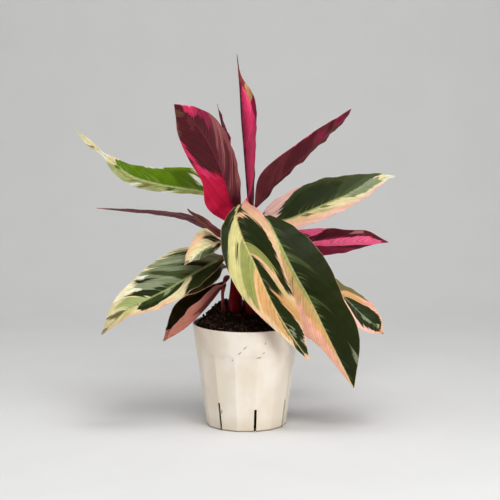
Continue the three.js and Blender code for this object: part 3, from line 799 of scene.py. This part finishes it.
def set_map(mesh, name, places):
    """A UV map from one place for each vertex."""
    layer = mesh.uv_layers.new(name=name)
    corners = np.empty(len(mesh.loops), np.int32)
    mesh.loops.foreach_get("vertex_index", corners)
    layer.data.foreach_set("uv", places[corners].astype(np.float32).ravel())


def baked(piece, name):
    """The piece's mesh with its modifiers applied."""
    evaluated = piece.evaluated_get(bpy.context.evaluated_depsgraph_get())
    mesh = bpy.data.meshes.new_from_object(evaluated)
    mesh.name = name
    bpy.data.objects.remove(piece)
    return mesh


def ring_faces(first, second, count):
    return [(first + k, first + (k + 1) % count, second + (k + 1) % count, second + k)
            for k in range(count)]


def fan_faces(middle, ring, count):
    return [(middle, ring + k, ring + (k + 1) % count) for k in range(count)]


# ---------------------------------------------------------------- shader graphs
class Graph:
    """A material whose nodes are added and joined in short calls."""

    def __init__(self, name, **sockets):
        self.material = bpy.data.materials.new(name)
        self.material.use_nodes = True
        self.tree = self.material.node_tree
        self.shader = self.tree.nodes["Principled BSDF"]
        for socket, value in sockets.items():
            self.shader.inputs[socket.replace("_", " ")].default_value = value

    def add(self, kind, inputs=(), output=0, **settings):
        node = self.tree.nodes.new(kind)
        for key, value in settings.items():
            setattr(node, key, value)
        for key, value in dict(inputs).items():
            self.join(value, node.inputs[key])
        return node.outputs[output]

    def join(self, value, socket):
        if isinstance(value, bpy.types.NodeSocket):
            self.tree.links.new(value, socket)
        else:
            socket.default_value = value

    def drive(self, **sockets):
        for socket, value in sockets.items():
            self.tree.links.new(value, self.shader.inputs[socket.replace("_", " ")])

    def math(self, operation, a, b=0.0):
        return self.add("ShaderNodeMath", {0: a, 1: b}, operation=operation)

    def plus(self, value, more, share):
        """The value and a share of another one."""
        return self.add("ShaderNodeMath", {0: more, 1: share, 2: value}, operation="MULTIPLY_ADD")

    def sum_of(self, *terms):
        """The sum of shares of values that are 0.5 on average, about 0."""
        total = -sum(share for _, share in terms) / 2
        for value, share in terms:
            total = self.plus(total, value, share)
        return total

    def attribute(self, name):
        return self.add("ShaderNodeAttribute", output="Fac", attribute_name=name)

    def place(self):
        return self.add("ShaderNodeTexCoord", output="Object")

    def along_axis(self, axis):
        """The place along one axis of the piece, in mm."""
        place = self.add("ShaderNodeSeparateXYZ", {0: self.place()}, output="XYZ".index(axis))
        return self.math("DIVIDE", place, MM)

    def stretched(self, vector, sizes, start=(0, 0, 0)):
        """Coordinates in which a detail of the given sizes is one unit."""
        return self.add("ShaderNodeMapping", {
            "Vector": vector, "Location": start, "Scale": [1 / size for size in sizes],
        })

    def noise(self, vector, detail, rough=0.5):
        return self.add("ShaderNodeTexNoise", {
            "Vector": vector, "Scale": 1.0, "Detail": detail, "Roughness": rough,
        })

    def spots(self, sizes, detail, rough=0.5):
        """Noise over the piece, with spots of one size or of a size for each axis."""
        sizes = metres(np.broadcast_to(sizes, 3))
        return self.noise(self.stretched(self.place(), sizes), detail, rough)

    def all_spots(self, table):
        """The noises of a material, by name."""
        return {name: self.spots(*settings) for name, settings in table.items()}

    def ramp(self, value, low, high, to_low=0.0, to_high=1.0):
        return self.add("ShaderNodeMapRange", {
            "Value": value, "From Min": low, "From Max": high, "To Min": to_low, "To Max": to_high,
        }, interpolation_type="SMOOTHSTEP")

    def mix(self, factor, first, second):
        node = self.tree.nodes.new("ShaderNodeMix")
        node.data_type = "RGBA"
        colours = [socket for socket in node.inputs if socket.type == "RGBA"]
        self.join(factor, node.inputs["Factor"])
        self.join(first, colours[0])
        self.join(second, colours[1])
        return next(socket for socket in node.outputs if socket.type == "RGBA")

    def coated(self, colours, coats, fields):
        """The base colour under its coats."""
        colour = tone(colours["base"])
        for name, field, start, full, strength in coats:
            cover = self.ramp(fields[field], start, full, 0, strength)
            colour = self.mix(cover, colour, tone(colours[name]))
        return colour

    def shade(self, colour, value):
        """The colour made darker or lighter: a value of 1 leaves it as it is."""
        return self.add("ShaderNodeHueSaturation", {"Color": colour, "Value": value})

    def bump(self, height, depth, under=None):
        inputs = {"Height": height, "Distance": depth * MM, "Strength": 1.0}
        if under is not None:
            inputs["Normal"] = under
        return self.add("ShaderNodeBump", inputs)


def metres(sizes):
    return [float(size * MM) for size in sizes]


# ---------------------------------------------------------------- blades
def half_width(leaf, side, s):
    joint = leaf.get("joint_half_width", BLADE["joint_half_width"])
    tip = BLADE["tip_half_width"]
    return np.maximum(along([joint, *leaf[side]["width"], tip], s), tip)


def blade_sheet(leaf, s, columns):
    """The blade's middle sheet, one row for each s and one column for each t in `columns`."""
    midrib = along(leaf["midrib"], s)
    tangent = direction_along(leaf["midrib"], s)
    turn = smooth(s)[:, None]
    up = square_to(aim(*leaf["face"][0]) * (1 - turn) + aim(*leaf["face"][1]) * turn, tangent)
    right = np.cross(tangent, up)
    sheet = []
    for t in columns:
        side = "left" if t < 0 else "right"
        width = half_width(leaf, side, s)
        bend = np.radians(np.minimum(width / BLADE["fold_half_width"], 1))
        fold_start, fold_end = leaf[side]["fold"]
        curl_start, curl_end = leaf[side]["curl"]
        fold = bend * (fold_start + (fold_end - fold_start) * s)
        half_curl = bend * (curl_start + (curl_end - curl_start) * s) * abs(t) / 2
        chord = width * abs(t) * np.sinc(half_curl / np.pi)
        angle = fold + half_curl
        outwards = math.copysign(1, t) * chord * np.cos(angle)
        sheet.append(midrib + outwards[:, None] * right + (chord * np.sin(angle))[:, None] * up)
    return np.stack(sheet, 1)


def sheet_normals(sheet):
    return unit(np.cross(np.gradient(sheet, axis=1), np.gradient(sheet, axis=0)))


def blade_columns():
    u = np.linspace(0, 1, BLADE["half_columns"] + 1)
    even, power = BLADE["spread"]
    t = even * u + (1 - even) * u ** power
    return np.concatenate([-t[:0:-1], t])


def stroke_field(w, t, stations):
    """Above 0 inside the stroke and below 0 outside it, with rounded corners.

    A stroke that comes near the midrib from one side runs up to it, and never past it.
    """
    across, lows, highs = np.array(stations).T / 100
    low, high = np.interp(t, across, lows), np.interp(t, across, highs)
    start, end = across[0], across[-1]
    reach_w, reach_t = STROKE_REACH
    reach_t = min(reach_t, (end - start) / 2)
    beyond = np.zeros(w.shape, bool)
    if abs(start) <= STROKE_TO_RIB < end:
        beyond, start = t < 0, start - 1
    elif abs(end) <= STROKE_TO_RIB < -start:
        beyond, end = t > 0, end + 1
    beside_w = (np.abs(w - (low + high) / 2) - (high - low) / 2) / reach_w
    beside_t = (np.abs(t - (start + end) / 2) - (end - start) / 2) / reach_t
    outside = np.hypot(np.maximum(beside_w, 0), np.maximum(beside_t, 0))
    inside = np.minimum(np.maximum(beside_w, beside_t), 0)
    return np.where(beyond, -FAR, np.clip(-outside - inside, -FAR, FAR))


def grid_faces(rows, columns):
    """The faces of the upper and lower sheets and of the edge between them."""
    under = rows * columns
    at = np.arange(under).reshape(rows, columns)
    a, b, c, d = at[:-1, :-1], at[:-1, 1:], at[1:, 1:], at[1:, :-1]
    upper = np.stack([a, b, c, d], -1).reshape(-1, 4)
    lower = upper[:, ::-1] + under
    loop = np.concatenate([at[0, :-1], at[:-1, -1], at[-1, :0:-1], at[:0:-1, 0]])
    following = np.roll(loop, -1)
    edge = np.stack([loop, loop + under, following + under, following], -1)
    return upper, lower, edge


class BladeGrid:
    """Rows `s` along a blade, columns `t` across it and the side vein `w` of each point."""

    def __init__(self, leaf):
        self.rows = np.linspace(0, 1, BLADE["rows"])
        self.s, self.t = self.rows[:, None], blade_columns()
        sides = ["left" if t < 0 else "right" for t in self.t]
        self.half_width = np.stack([half_width(leaf, side, self.rows) for side in sides], 1)
        self.reach = self.half_width * np.abs(self.t)
        steps = np.diff(along(leaf["midrib"], self.rows), axis=0)
        self.length = np.linalg.norm(steps, axis=1).sum()
        lean = BLADE["vein_lean"] * np.abs(self.t) ** BLADE["vein_curve"]
        self.w = self.s - lean * self.half_width / self.length


def blade_relief(leaf, grid, number):
    """How far the waves at the edge and the pleats between the side veins lift the sheet."""
    middle = np.sqrt(np.sin(np.pi * grid.s))
    half = np.sign(grid.t)
    wave_length, wave_height = BLADE["waves"]
    wave_height = leaf.get("waves", wave_height)
    faster, lower = BLADE["second_wave"]
    run = 2 * np.pi * grid.s * grid.length / wave_length + half * BLADE["half_shift"] + number
    waves = np.sin(run) + lower * np.sin(faster * run + 2 * number)
    pleat_length, pleat_height = BLADE["pleat"]
    pleat_height = leaf.get("pleats", pleat_height)
    pleats = np.sin(2 * np.pi * grid.w * grid.length / pleat_length + half) * pleat_height
    return waves * wave_height * grid.t ** 2 * middle + pleats * np.sqrt(np.abs(grid.t)) * middle


def blade_depths(grid):
    """How far the upper and the lower face lie from the sheet."""
    s, t = grid.s, np.abs(grid.t)
    joint = np.exp(-s / BLADE["joint_reach"])
    swell = BLADE["joint_swell"] * joint * (1 - t) / 2
    thin = BLADE["thickness"] + (BLADE["margin_thickness"] - BLADE["thickness"]) * t ** 4
    rib = np.exp(-(grid.reach / BLADE["rib_width"]) ** 2) * BLADE["rib_depth"]
    rib = rib * (1 - BLADE["rib_taper"] * s)
    groove = np.exp(-(grid.reach / BLADE["groove_width"]) ** 2) * BLADE["groove_depth"]
    groove = groove * (1 - BLADE["groove_taper"] * s) * (1 - joint)
    return thin / 2 + swell - groove, thin / 2 + swell + rib


def mark_blade(mesh, leaf, grid):
    """Gives both faces the map, the distances in mm and the stroke fields that their materials read."""
    def both(values):
        return np.concatenate([values.ravel(), values.ravel()])

    run, across = both(grid.w * grid.length), both(grid.reach * np.sign(grid.t))
    set_map(mesh, "veins", np.stack([run, across], -1))
    set_values(mesh, "margin", both((1 - np.abs(grid.t)) * grid.half_width))
    set_values(mesh, "rib", both(grid.reach / (1 - BLADE["line_taper"] * grid.s)))
    columns = np.broadcast_to(grid.t, grid.w.shape)
    for k, (_, *stations) in enumerate(leaf["paint"]):
        set_values(mesh, f"stroke_{k}", both(stroke_field(grid.w, columns, stations)))


def make_blade(name, leaf, number):
    grid = BladeGrid(leaf)
    sheet = blade_sheet(leaf, grid.rows, grid.t)
    sheet = sheet + sheet_normals(sheet) * blade_relief(leaf, grid, number)[..., None]
    normals = sheet_normals(sheet)
    above, below = blade_depths(grid)
    upper = sheet + normals * above[..., None]
    lower = sheet - normals * below[..., None]
    upper_faces, lower_faces, edge_faces = grid_faces(*grid.w.shape)
    faces = np.concatenate([upper_faces, lower_faces, edge_faces])
    points = np.concatenate([upper.reshape(-1, 3), lower.reshape(-1, 3)])
    mesh = new_mesh(f"blade_{name}", points, faces.tolist())
    skins = [leaf_material(name, leaf, number, side) for side in ("upper", "under")]
    piece = new_object(f"blade_{name}", mesh, skins, sharp_angle=60)
    turned_down = np.zeros(len(mesh.polygons), np.int32)
    turned_down[len(upper_faces):] = 1
    mesh.polygons.foreach_set("material_index", turned_down)
    mark_blade(mesh, leaf, grid)
    add_to_plant(piece, leaf["slot"], f"leaf_{name}")


def leaf_colour(graph, leaf, grain, which):
    """The strokes over the ground, frayed by the grain, then the lines along midrib and edge."""
    def pigment(name):
        return tone(PIGMENTS[name][which])

    def with_line(colour, distance, kind, reach=1):
        far, near, strength, waver = LINES[kind]
        away = graph.plus(distance, grain["drift"], waver)
        line = graph.ramp(away, far * reach, near * reach, 0, strength)
        return graph.mix(line, colour, pigment(leaf[kind]))

    fray = graph.sum_of(*[(grain[kind], share) for kind, (*_, share) in GRAIN.items()])
    colour = pigment(leaf["ground"])
    for k, (name, *_) in enumerate(leaf["paint"]):
        field = graph.math("ADD", graph.attribute(f"stroke_{k}"), fray)
        colour = graph.mix(graph.ramp(field, -STROKE_EDGE, STROKE_EDGE), colour, pigment(name))
    from_rib = graph.attribute("rib")
    near_rib = graph.ramp(from_rib, *VEINS["pale_reach"], 0, VEINS["pale_share"])
    pale = graph.math("MULTIPLY", graph.ramp(grain["streaks"], *VEINS["pale_streaks"]), near_rib)
    colour = graph.mix(pale, colour, pigment(leaf["rib"]))
    colour = with_line(colour, from_rib, "rib", leaf.get("rib_reach", 1))
    return with_line(colour, graph.attribute("margin"), "edge")


def leaf_material(name, leaf, number, side):
    """Pigments that meet in streaks along the side veins, under a satin, finely ribbed skin."""
    which = ("upper", "under").index(side)
    graph = Graph(f"{name}_{side}", **LEAF_SKIN)
    veins = graph.add("ShaderNodeUVMap", uv_map="veins")
    start = [number * shift for shift in GRAIN_SHIFT]
    grain = {kind: graph.noise(graph.stretched(veins, (wide, long, 1), start), detail)
             for kind, (wide, long, detail, _) in GRAIN.items()}
    mottle = graph.spots(*VEINS["mottle"])
    lines = graph.add("ShaderNodeTexWave", {
        "Vector": graph.stretched(veins, (1, VEINS["line_run"], 1)),
        "Scale": 1 / (VEINS["spacing"] * WAVES_PER_UNIT),
        **VEINS["line_waver"],
    }, output="Fac", bands_direction="X")
    lit = graph.sum_of(
        (grain["threads"], VEINS["thread_contrast"][which]),
        (grain["drift"], VEINS["drift_contrast"]),
        (mottle, VEINS["mottle_contrast"]),
        (graph.ramp(lines, *VEINS["line_crest"]), VEINS["line_contrast"]),
    )
    colour = leaf_colour(graph, leaf, grain, which)
    relief = graph.plus(grain["threads"], lines, VEINS["line_relief"])
    graph.drive(
        Base_Color=graph.shade(colour, graph.math("ADD", lit, 1)),
        Roughness=graph.ramp(mottle, *NOISE_ENDS, *VEINS["roughness"][which]),
        Normal=graph.bump(relief, VEINS["relief"]),
    )
    return graph.material


# ---------------------------------------------------------------- shoots
def rod(path, radii, sides, steps, groove=0.0):
    """Points and faces of a closed rod along a path, with a groove along its upper side."""
    s = np.linspace(0, 1, steps + 1)
    centres = along(path, s)
    tangents = direction_along(path, s)
    radius = along(radii, s)
    side = square_to(np.broadcast_to([1.0, 0, 0], tangents.shape), tangents)
    other = np.cross(tangents, side)
    angle = np.linspace(0, 2 * np.pi, sides, endpoint=False)
    shape = 1 - groove * np.exp(-((angle - np.pi / 2) / PETIOLE["groove_width"]) ** 2)
    ring = (side[:, None] * (np.cos(angle) * shape)[:, None]
            + other[:, None] * (np.sin(angle) * shape)[:, None])
    points = (centres[:, None] + ring * radius[:, None, None]).reshape(-1, 3)
    faces = []
    for i in range(steps):
        faces += ring_faces(i * sides, (i + 1) * sides, sides)
    faces.append(tuple(range(sides))[::-1])
    faces.append(tuple(steps * sides + k for k in range(sides)))
    return points, faces


def joined(parts):
    """Several sets of points and faces as one."""
    points, faces = [], []
    for part_points, part_faces in parts:
        first = sum(len(p) for p in points)
        points.append(part_points)
        faces += [tuple(first + corner for corner in face) for face in part_faces]
    return np.concatenate(points), faces


def petiole_rod(leaf, lower):
    """A petiole from inside its sheath to a little way into its blade."""
    start = np.array(leaf["midrib"][0], float)
    ahead = direction_along(leaf["midrib"], np.array([0.0]))[0]
    inside = along(leaf["midrib"], np.array([PETIOLE["sink"]]))[0]
    path = [*lower, start - PETIOLE["lead"] * ahead, start, inside]
    neck = PETIOLE["radius"] * PETIOLE["neck"]
    radii = [PETIOLE["radius"]] * len(lower) + [PETIOLE["joint"], neck, PETIOLE["end"]]
    return rod(path, radii, PETIOLE["sides"], PETIOLE["steps"], PETIOLE["groove"])


def make_shoot(name, shoot, material):
    parts = [rod(shoot["sheath"], shoot["radius"], SHEATH["sides"], SHEATH["steps"])]
    parts += [petiole_rod(LEAVES[leaf], lower) for leaf, lower in shoot["petioles"].items()]
    points, faces = joined(parts)
    rough = new_object(f"{name}_rods", new_mesh(name, points, faces), [])
    fuse = rough.modifiers.new("fuse", "REMESH")
    fuse.mode = "VOXEL"
    fuse.voxel_size = SHOOT_MESH["voxel"] * MM
    soften = rough.modifiers.new("soften", "SMOOTH")
    soften.factor = SHOOT_MESH["soften"]
    soften.iterations = SHOOT_MESH["soften_rounds"]
    mesh = baked(rough, f"{name}_stems")
    piece = new_object(f"{name}_stems", mesh, [material], sharp_angle=180)
    add_to_plant(piece, "stem_maroon", name)


def stem_material(name):
    """Streaked maroon wax, pale blotches partly painted highlights, painted shade low among the stems.
    """
    graph = Graph(name, **STEM_SKIN["sockets"])
    fields = graph.all_spots(STEM_SKIN["noise"])
    fields["height"] = graph.along_axis("Z")
    graph.drive(
        Base_Color=graph.coated(STEM_COLOURS[name], STEM_SKIN["coats"], fields),
        Roughness=graph.ramp(fields["blotches"], *NOISE_ENDS, *STEM_SKIN["roughness"]),
        Normal=graph.bump(fields["streaks"], STEM_SKIN["relief"]),
    )
    return graph.material


# ---------------------------------------------------------------- pot
FACET_STEP = 2 * math.pi / POT["facets"]


def cone_radius(z):
    return POT["base"] + (POT["rim"] - POT["base"]) * z / POT["height"]


def pot_outline(z, angle):
    """The outer radius: a round cone, cut by flat facets below the collar."""
    across = (angle - math.radians(POT["front_edge"])) % FACET_STEP - FACET_STEP / 2
    flat = cone_radius(z) * math.cos(FACET_STEP / 2)
    rise = np.clip((z - POT["shoulder"]) / (POT["collar"] - POT["shoulder"]), 0, None)
    flat = flat + (cone_radius(z) - flat) * rise
    facet = flat / np.cos(across)
    cone = cone_radius(z) + 0 * across
    blend = POT["edge_blend"]
    return -blend * np.logaddexp(-cone / blend, -facet / blend)


def pot_rings(angle):
    """The pot's rings from its underside, up its wall and over the lip to its floor."""
    height, wall, lip, foot = POT["height"], POT["wall"], POT["lip"], POT_MESH["foot_round"]
    for share in POT_MESH["underside"]:
        yield pot_outline(0, angle) * share, 0
    for a in np.linspace(0, math.pi / 2, POT_MESH["foot_rings"]):
        z = foot * (1 - math.cos(a))
        yield pot_outline(z, angle) - foot * (1 - math.sin(a)), z
    for z in np.linspace(POT_MESH["wall_start"], height - lip, POT_MESH["wall_rings"]):
        yield pot_outline(z, angle), z
    lip_middle = cone_radius(height) - wall / 2
    for a in np.linspace(0, math.pi, POT_MESH["lip_rings"])[1:]:
        yield lip_middle + wall / 2 * math.cos(a), height - lip + lip * math.sin(a)
    for z in np.linspace(height - POT_MESH["inside_start"], POT["floor"], POT_MESH["inside_rings"]):
        yield cone_radius(z) - wall, z
    yield POT_MESH["floor_share"] * POT["base"], POT["floor"]


def make_pot(material):
    count = POT_MESH["round"]
    angle = np.linspace(0, 2 * np.pi, count, endpoint=False)
    direction = np.stack([np.sin(angle), -np.cos(angle), 0 * angle], -1)
    rings = [direction * np.reshape(radius, (-1, 1)) + [0, 0, z] for radius, z in pot_rings(angle)]
    points = np.concatenate([np.zeros((1, 3)), *rings, [[0, 0, POT["floor"]]]])
    middle = len(points) - 1
    loops = range(1, middle, count)
    faces = [(centre, b, a) for centre, a, b in fan_faces(0, loops[0], count)]
    for lower, upper in zip(loops, loops[1:]):
        faces += ring_faces(lower, upper, count)
    faces += fan_faces(middle, loops[-1], count)
    rough = new_object("pot_shell", new_mesh("pot_shell", points, faces), [])

    cutter = new_object("slot_cutter", new_mesh("slot_cutter", *joined(slot_boxes())), [])
    cut = rough.modifiers.new("slots", "BOOLEAN")
    cut.operation = "DIFFERENCE"
    cut.solver = "EXACT"
    cut.object = cutter
    mesh = baked(rough, "moulded_pot")
    bpy.data.objects.remove(cutter)
    piece = new_object("moulded_pot", mesh, [material], sharp_angle=38)
    add_to_plant(piece, "pot_plastic", "pot")


def slot_boxes():
    """A tall box for each drain slot, at every second facet edge."""
    inner, outer = POT["base"] - SLOT["reach"], POT["rim"] + SLOT["overrun"]
    half = SLOT["width"] / 2
    boxes = []
    for k in range(0, POT["facets"], 2):
        top = SLOT["front_height"] if k == 0 else SLOT["height"]
        turn = math.radians(POT["front_edge"]) + k * FACET_STEP
        outwards = np.array([math.sin(turn), -math.cos(turn), 0])
        sideways = np.array([math.cos(turn), math.sin(turn), 0])
        outline = [(-half, -SLOT["overrun"]), (half, -SLOT["overrun"]), (half, top - half / 2),
                   (half / 2, top), (-half / 2, top), (-half, top - half / 2)]
        near, far = (
            [outwards * depth + sideways * x + [0, 0, z] for x, z in outline]
            for depth in (outer, inner)
        )
        sides = len(outline)
        faces = [tuple(range(sides)), tuple(range(2 * sides - 1, sides - 1, -1))]
        faces += [(a, a + sides, (a + 1) % sides + sides, (a + 1) % sides) for a in range(sides)]
        boxes.append((np.array(near + far), faces))
    return boxes


def scuff_mask(graph, specks, x, z, half_length, half_height, tilt):
    """An uneven oval on the front of the pot."""
    away = graph.add("ShaderNodeMapping", {
        "Vector": graph.place(), "Location": metres((x, 0, z)),
        "Rotation": (0, -math.radians(tilt), 0),
        "Scale": metres((half_length, SCUFF["depth"], half_height)),
    }, vector_type="TEXTURE")
    distance = graph.add("ShaderNodeVectorMath", {0: away}, output="Value", operation="LENGTH")
    start, full, strength = SCUFF["outline"]
    oval = graph.ramp(graph.plus(distance, specks, SCUFF["raggedness"]), start, full, 0, strength)
    return graph.math("MULTIPLY", oval, graph.ramp(graph.along_axis("Y"), *SCUFF["front"]))


def pot_material():
    """Satin cream plastic with faint mottling, a few scuffs, dust towards the foot and a painted
    contact shadow.
    """
    graph = Graph("cream_plastic", **PLASTIC["sockets"])
    fields = graph.all_spots(PLASTIC["noise"])
    fields["height"] = graph.along_axis("Z")
    fields["dust"] = graph.plus(fields["height"], fields["clouds"], PLASTIC["dust_waver"])
    colour = graph.coated(PLASTIC_COLOURS, PLASTIC["coats"], fields)
    for scuff in SCUFFS:
        mask = scuff_mask(graph, fields["specks"], *scuff)
        colour = graph.mix(mask, colour, tone(PLASTIC_COLOURS["scuff"]))
    unevenness = graph.bump(fields["clouds"], PLASTIC["cloud_relief"])
    graph.drive(
        Base_Color=colour,
        Roughness=graph.ramp(fields["clouds"], *NOISE_ENDS, *PLASTIC["roughness"]),
        Normal=graph.bump(fields["grain"], PLASTIC["grain_relief"], unevenness),
    )
    return graph.material


# ---------------------------------------------------------------- soil
def soil_height(radius, angle):
    share = np.minimum(radius / SOIL["lumps_radius"], 1)
    rise = (SOIL["mound"] - SOIL["edge"]) * (1 - share ** SOIL["fullness"])
    lumps = sum(size * np.sin(times * angle + outwards * radius + start)
                for times, outwards, start, size in SOIL["lumps"])
    place = SOIL["heap"]
    across = (radius * np.cos(angle) - place["x"]) / place["wide"]
    back = (radius * np.sin(angle) - place["y"]) / place["deep"]
    heap = place["height"] * np.exp(-across ** 2 - back ** 2)
    lumps = lumps * np.minimum(share * SOIL["lumps_start"], 1)
    return SOIL["edge"] + rise + (lumps + heap) * (1 - share ** SOIL["lumps_end"])


def soil_radius(z):
    return cone_radius(z) * math.cos(FACET_STEP / 2) - POT["wall"] - SOIL["clear"]


def grain_at(x, y):
    """Crumbly relief of the surface, about 0 on average."""
    size = SOIL["grain"]
    place = Vector((x / size, y / size, 0))
    return sum(height * noise.noise(place * finer) for finer, height in SOIL["layers"])


def make_soil(material):
    spokes = SOIL["spokes"]
    angle = np.linspace(0, 2 * np.pi, spokes, endpoint=False)
    edge = soil_radius(SOIL["edge"])
    points = [np.array([[0, 0, soil_height(0.0, 0.0)]])]
    for radius in np.linspace(0, edge, SOIL["rings"])[1:]:
        x, y = radius * np.cos(angle), radius * np.sin(angle)
        fade = min(1, (edge - radius) / SOIL["fade"])
        z = soil_height(radius, angle)
        z = z + [SOIL["relief"] * fade * grain_at(*place) for place in zip(x, y)]
        points.append(np.stack([x, y, z], -1))
    bottom = POT["floor"] + SOIL["clear"]
    foot = soil_radius(bottom)
    points.append(np.stack([foot * np.cos(angle), foot * np.sin(angle), 0 * angle + bottom], -1))
    points.append(np.array([[0, 0, bottom]]))
    points = np.concatenate(points)
    loops = range(1, len(points) - 1, spokes)
    faces = fan_faces(0, 1, spokes)
    for inner, outer in zip(loops, loops[1:]):
        faces += [face[::-1] for face in ring_faces(inner, outer, spokes)]
    faces += [(centre, b, a) for centre, a, b in fan_faces(len(points) - 1, loops[-1], spokes)]
    mesh = new_mesh("soil_ball", points, faces)
    piece = new_object("soil_ball", mesh, [material], sharp_angle=180)
    add_to_plant(piece, "potting_soil", "soil")


def make_crumb(random, x, y):
    """A lump of bark or peat: a box with its corners pushed about, turned at random."""
    size = random.uniform(*CRUMBS["size"])
    shape = size * random.uniform(CRUMBS["least"], CRUMBS["most"])
    corners = np.array([(i, j, k) for i in (-1, 1) for j in (-1, 1) for k in (-1, 1)], float)
    corners += random.uniform(-CRUMBS["uneven"], CRUMBS["uneven"], corners.shape)
    turn, _ = np.linalg.qr(random.normal(size=(3, 3)))
    turn *= np.sign(np.linalg.det(turn))
    z = soil_height(math.hypot(x, y), math.atan2(y, x)) + SOIL["relief"] * grain_at(x, y)
    faces = [(0, 1, 3, 2), (4, 6, 7, 5), (0, 4, 5, 1), (2, 3, 7, 6), (0, 2, 6, 4), (1, 5, 7, 3)]
    return (corners * shape) @ turn + [x, y, z + CRUMBS["lift"] * size], faces


def make_fibre(random, x, y):
    """A thin bent root or bark thread that lies on the surface."""
    steps = FIBRES["steps"]
    length = random.uniform(*FIBRES["length"])
    radius = random.uniform(*FIBRES["radius"])
    heading = random.uniform(0, 2 * np.pi) + np.cumsum(random.normal(0, FIBRES["bend"], steps))
    stride = length / steps
    xs = x + np.cumsum(np.cos(heading)) * stride
    ys = y + np.cumsum(np.sin(heading)) * stride
    limit = soil_radius(SOIL["edge"]) - FIBRES["wall"]
    shrink = np.minimum(1, limit / np.hypot(xs, ys))
    xs, ys = xs * shrink, ys * shrink
    zs = soil_height(np.hypot(xs, ys), np.arctan2(ys, xs))
    zs = zs + SOIL["relief"] * FIBRES["lift"] + random.uniform(*FIBRES["rise"], steps)
    return rod(np.stack([xs, ys, zs], -1), [radius, radius, radius * FIBRES["taper"]], *FIBRES["mesh"])


def scatter(random, count, make, reach):
    """`count` small parts at random over the soil, as one set of points and faces, and their shades."""
    parts = []
    for _ in range(count):
        radius = reach * math.sqrt(random.uniform(0, 1))
        turn = random.uniform(0, 2 * math.pi)
        parts.append(make(random, radius * math.cos(turn), radius * math.sin(turn)))
    shades = np.concatenate([np.full(len(points), random.uniform(0, 1)) for points, _ in parts])
    return (*joined(parts), shades)


def make_litter(name, settings, make, material):
    random = np.random.default_rng(settings["seed"])
    reach = soil_radius(SOIL["edge"]) - LITTER_CLEAR
    points, faces, shades = scatter(random, settings["count"], make, reach)
    mesh = new_mesh(name, points, faces)
    set_values(mesh, "shade", shades)
    piece = new_object(name, mesh, [material], sharp_angle=45)
    add_to_plant(piece, "potting_soil")


def soil_material(name, *more_coats):
    """Dark peat with paler grit. Litter has one more coat, laid by the shade of each part."""
    graph = Graph(name, **PEAT["sockets"])
    fields = graph.all_spots(PEAT["noise"])
    if more_coats:
        fields["shade"] = graph.attribute("shade")
    graph.drive(
        Base_Color=graph.coated(SOIL_COLOURS[name], [*PEAT["coats"], *more_coats], fields),
        Roughness=graph.ramp(fields["clods"], *NOISE_ENDS, *PEAT["roughness"]),
        Normal=graph.bump(fields["grit"], PEAT["relief"]),
    )
    return graph.material


# ---------------------------------------------------------------- stage
def paper_material():
    """Matt paper that is clear from behind, so that the plant can be seen from every side."""
    graph = Graph("backdrop_paper", Roughness=PAPER["roughness"])
    clouds = graph.ramp(graph.spots(*PAPER["clouds"]), *NOISE_ENDS)
    graph.drive(Base_Color=graph.mix(clouds, tone(PAPER["base"]), tone(PAPER["cloud"])))
    one_sided = graph.add("ShaderNodeMixShader", {
        0: graph.add("ShaderNodeNewGeometry", output="Backfacing"),
        1: graph.shader.outputs[0],
        2: graph.add("ShaderNodeBsdfTransparent"),
    })
    graph.join(one_sided, graph.tree.nodes["Material Output"].inputs["Surface"])
    return graph.material


def make_floor():
    """A floor that curves up into the backdrop behind the plant."""
    back, curve = FLOOR["back"], FLOOR["curve"]
    profile = [(FLOOR["front"], 0), (back - curve, 0)]
    profile += [(back - curve + curve * math.sin(a), curve - curve * math.cos(a))
                for a in np.linspace(0, math.pi / 2, FLOOR["steps"])[1:]]
    profile.append((back, FLOOR["top"]))
    half = FLOOR["half_width"]
    points = [(x, y, z) for y, z in profile for x in (-half, half)]
    faces = [(2 * k, 2 * k + 1, 2 * k + 3, 2 * k + 2) for k in range(len(profile) - 1)]
    floor = new_object("backdrop", new_mesh("backdrop", points, faces), [paper_material()])


def looking(piece, place, target):
    piece.location = Vector(place) * MM
    view = (Vector(target) - Vector(place)).normalized()
    piece.rotation_euler = view.to_track_quat("-Z", "Y").to_euler()


def make_camera():
    camera = bpy.data.objects.new("camera", bpy.data.cameras.new("camera"))
    camera.data.sensor_width = SENSOR
    camera.data.lens = SENSOR * CAMERA["focal_px"] / PICTURE_PX
    looking(camera, CAMERA["place"], CAMERA["target"])
    bpy.context.scene.collection.objects.link(camera)
    bpy.context.scene.camera = camera


def make_lights():
    for name, (place, target, (width, height), watts) in SOFT_BOXES.items():
        light = bpy.data.lights.new(name, "AREA")
        light.shape = "RECTANGLE"
        light.size, light.size_y = width * MM, height * MM
        light.energy = watts
        box = bpy.data.objects.new(name, light)
        looking(box, place, target)
        bpy.context.scene.collection.objects.link(box)
    world = bpy.data.worlds.new("studio")
    world.use_nodes = True
    sky = world.node_tree.nodes["Background"]
    sky.inputs["Color"].default_value = tone(SKY["colour"])
    sky.inputs["Strength"].default_value = SKY["strength"]
    bpy.context.scene.world = world


# ---------------------------------------------------------------- the scene
bpy.context.scene.view_settings.view_transform = "Standard"
make_camera()
make_lights()
make_floor()
make_pot(pot_material())
make_soil(soil_material("soil_surface"))
make_litter("soil_crumbs", CRUMBS, make_crumb, soil_material("crumbs", LITTER_COAT))
make_litter("soil_fibres", FIBRES, make_fibre, soil_material("fibres", LITTER_COAT))
stem_skins = {name: stem_material(name) for name in STEM_COLOURS}
for shoot_name, shoot in SHOOTS.items():
    make_shoot(shoot_name, shoot, stem_skins[shoot["skin"]])
for number, (leaf_name, leaf) in enumerate(LEAVES.items()):
    make_blade(leaf_name, leaf, number)
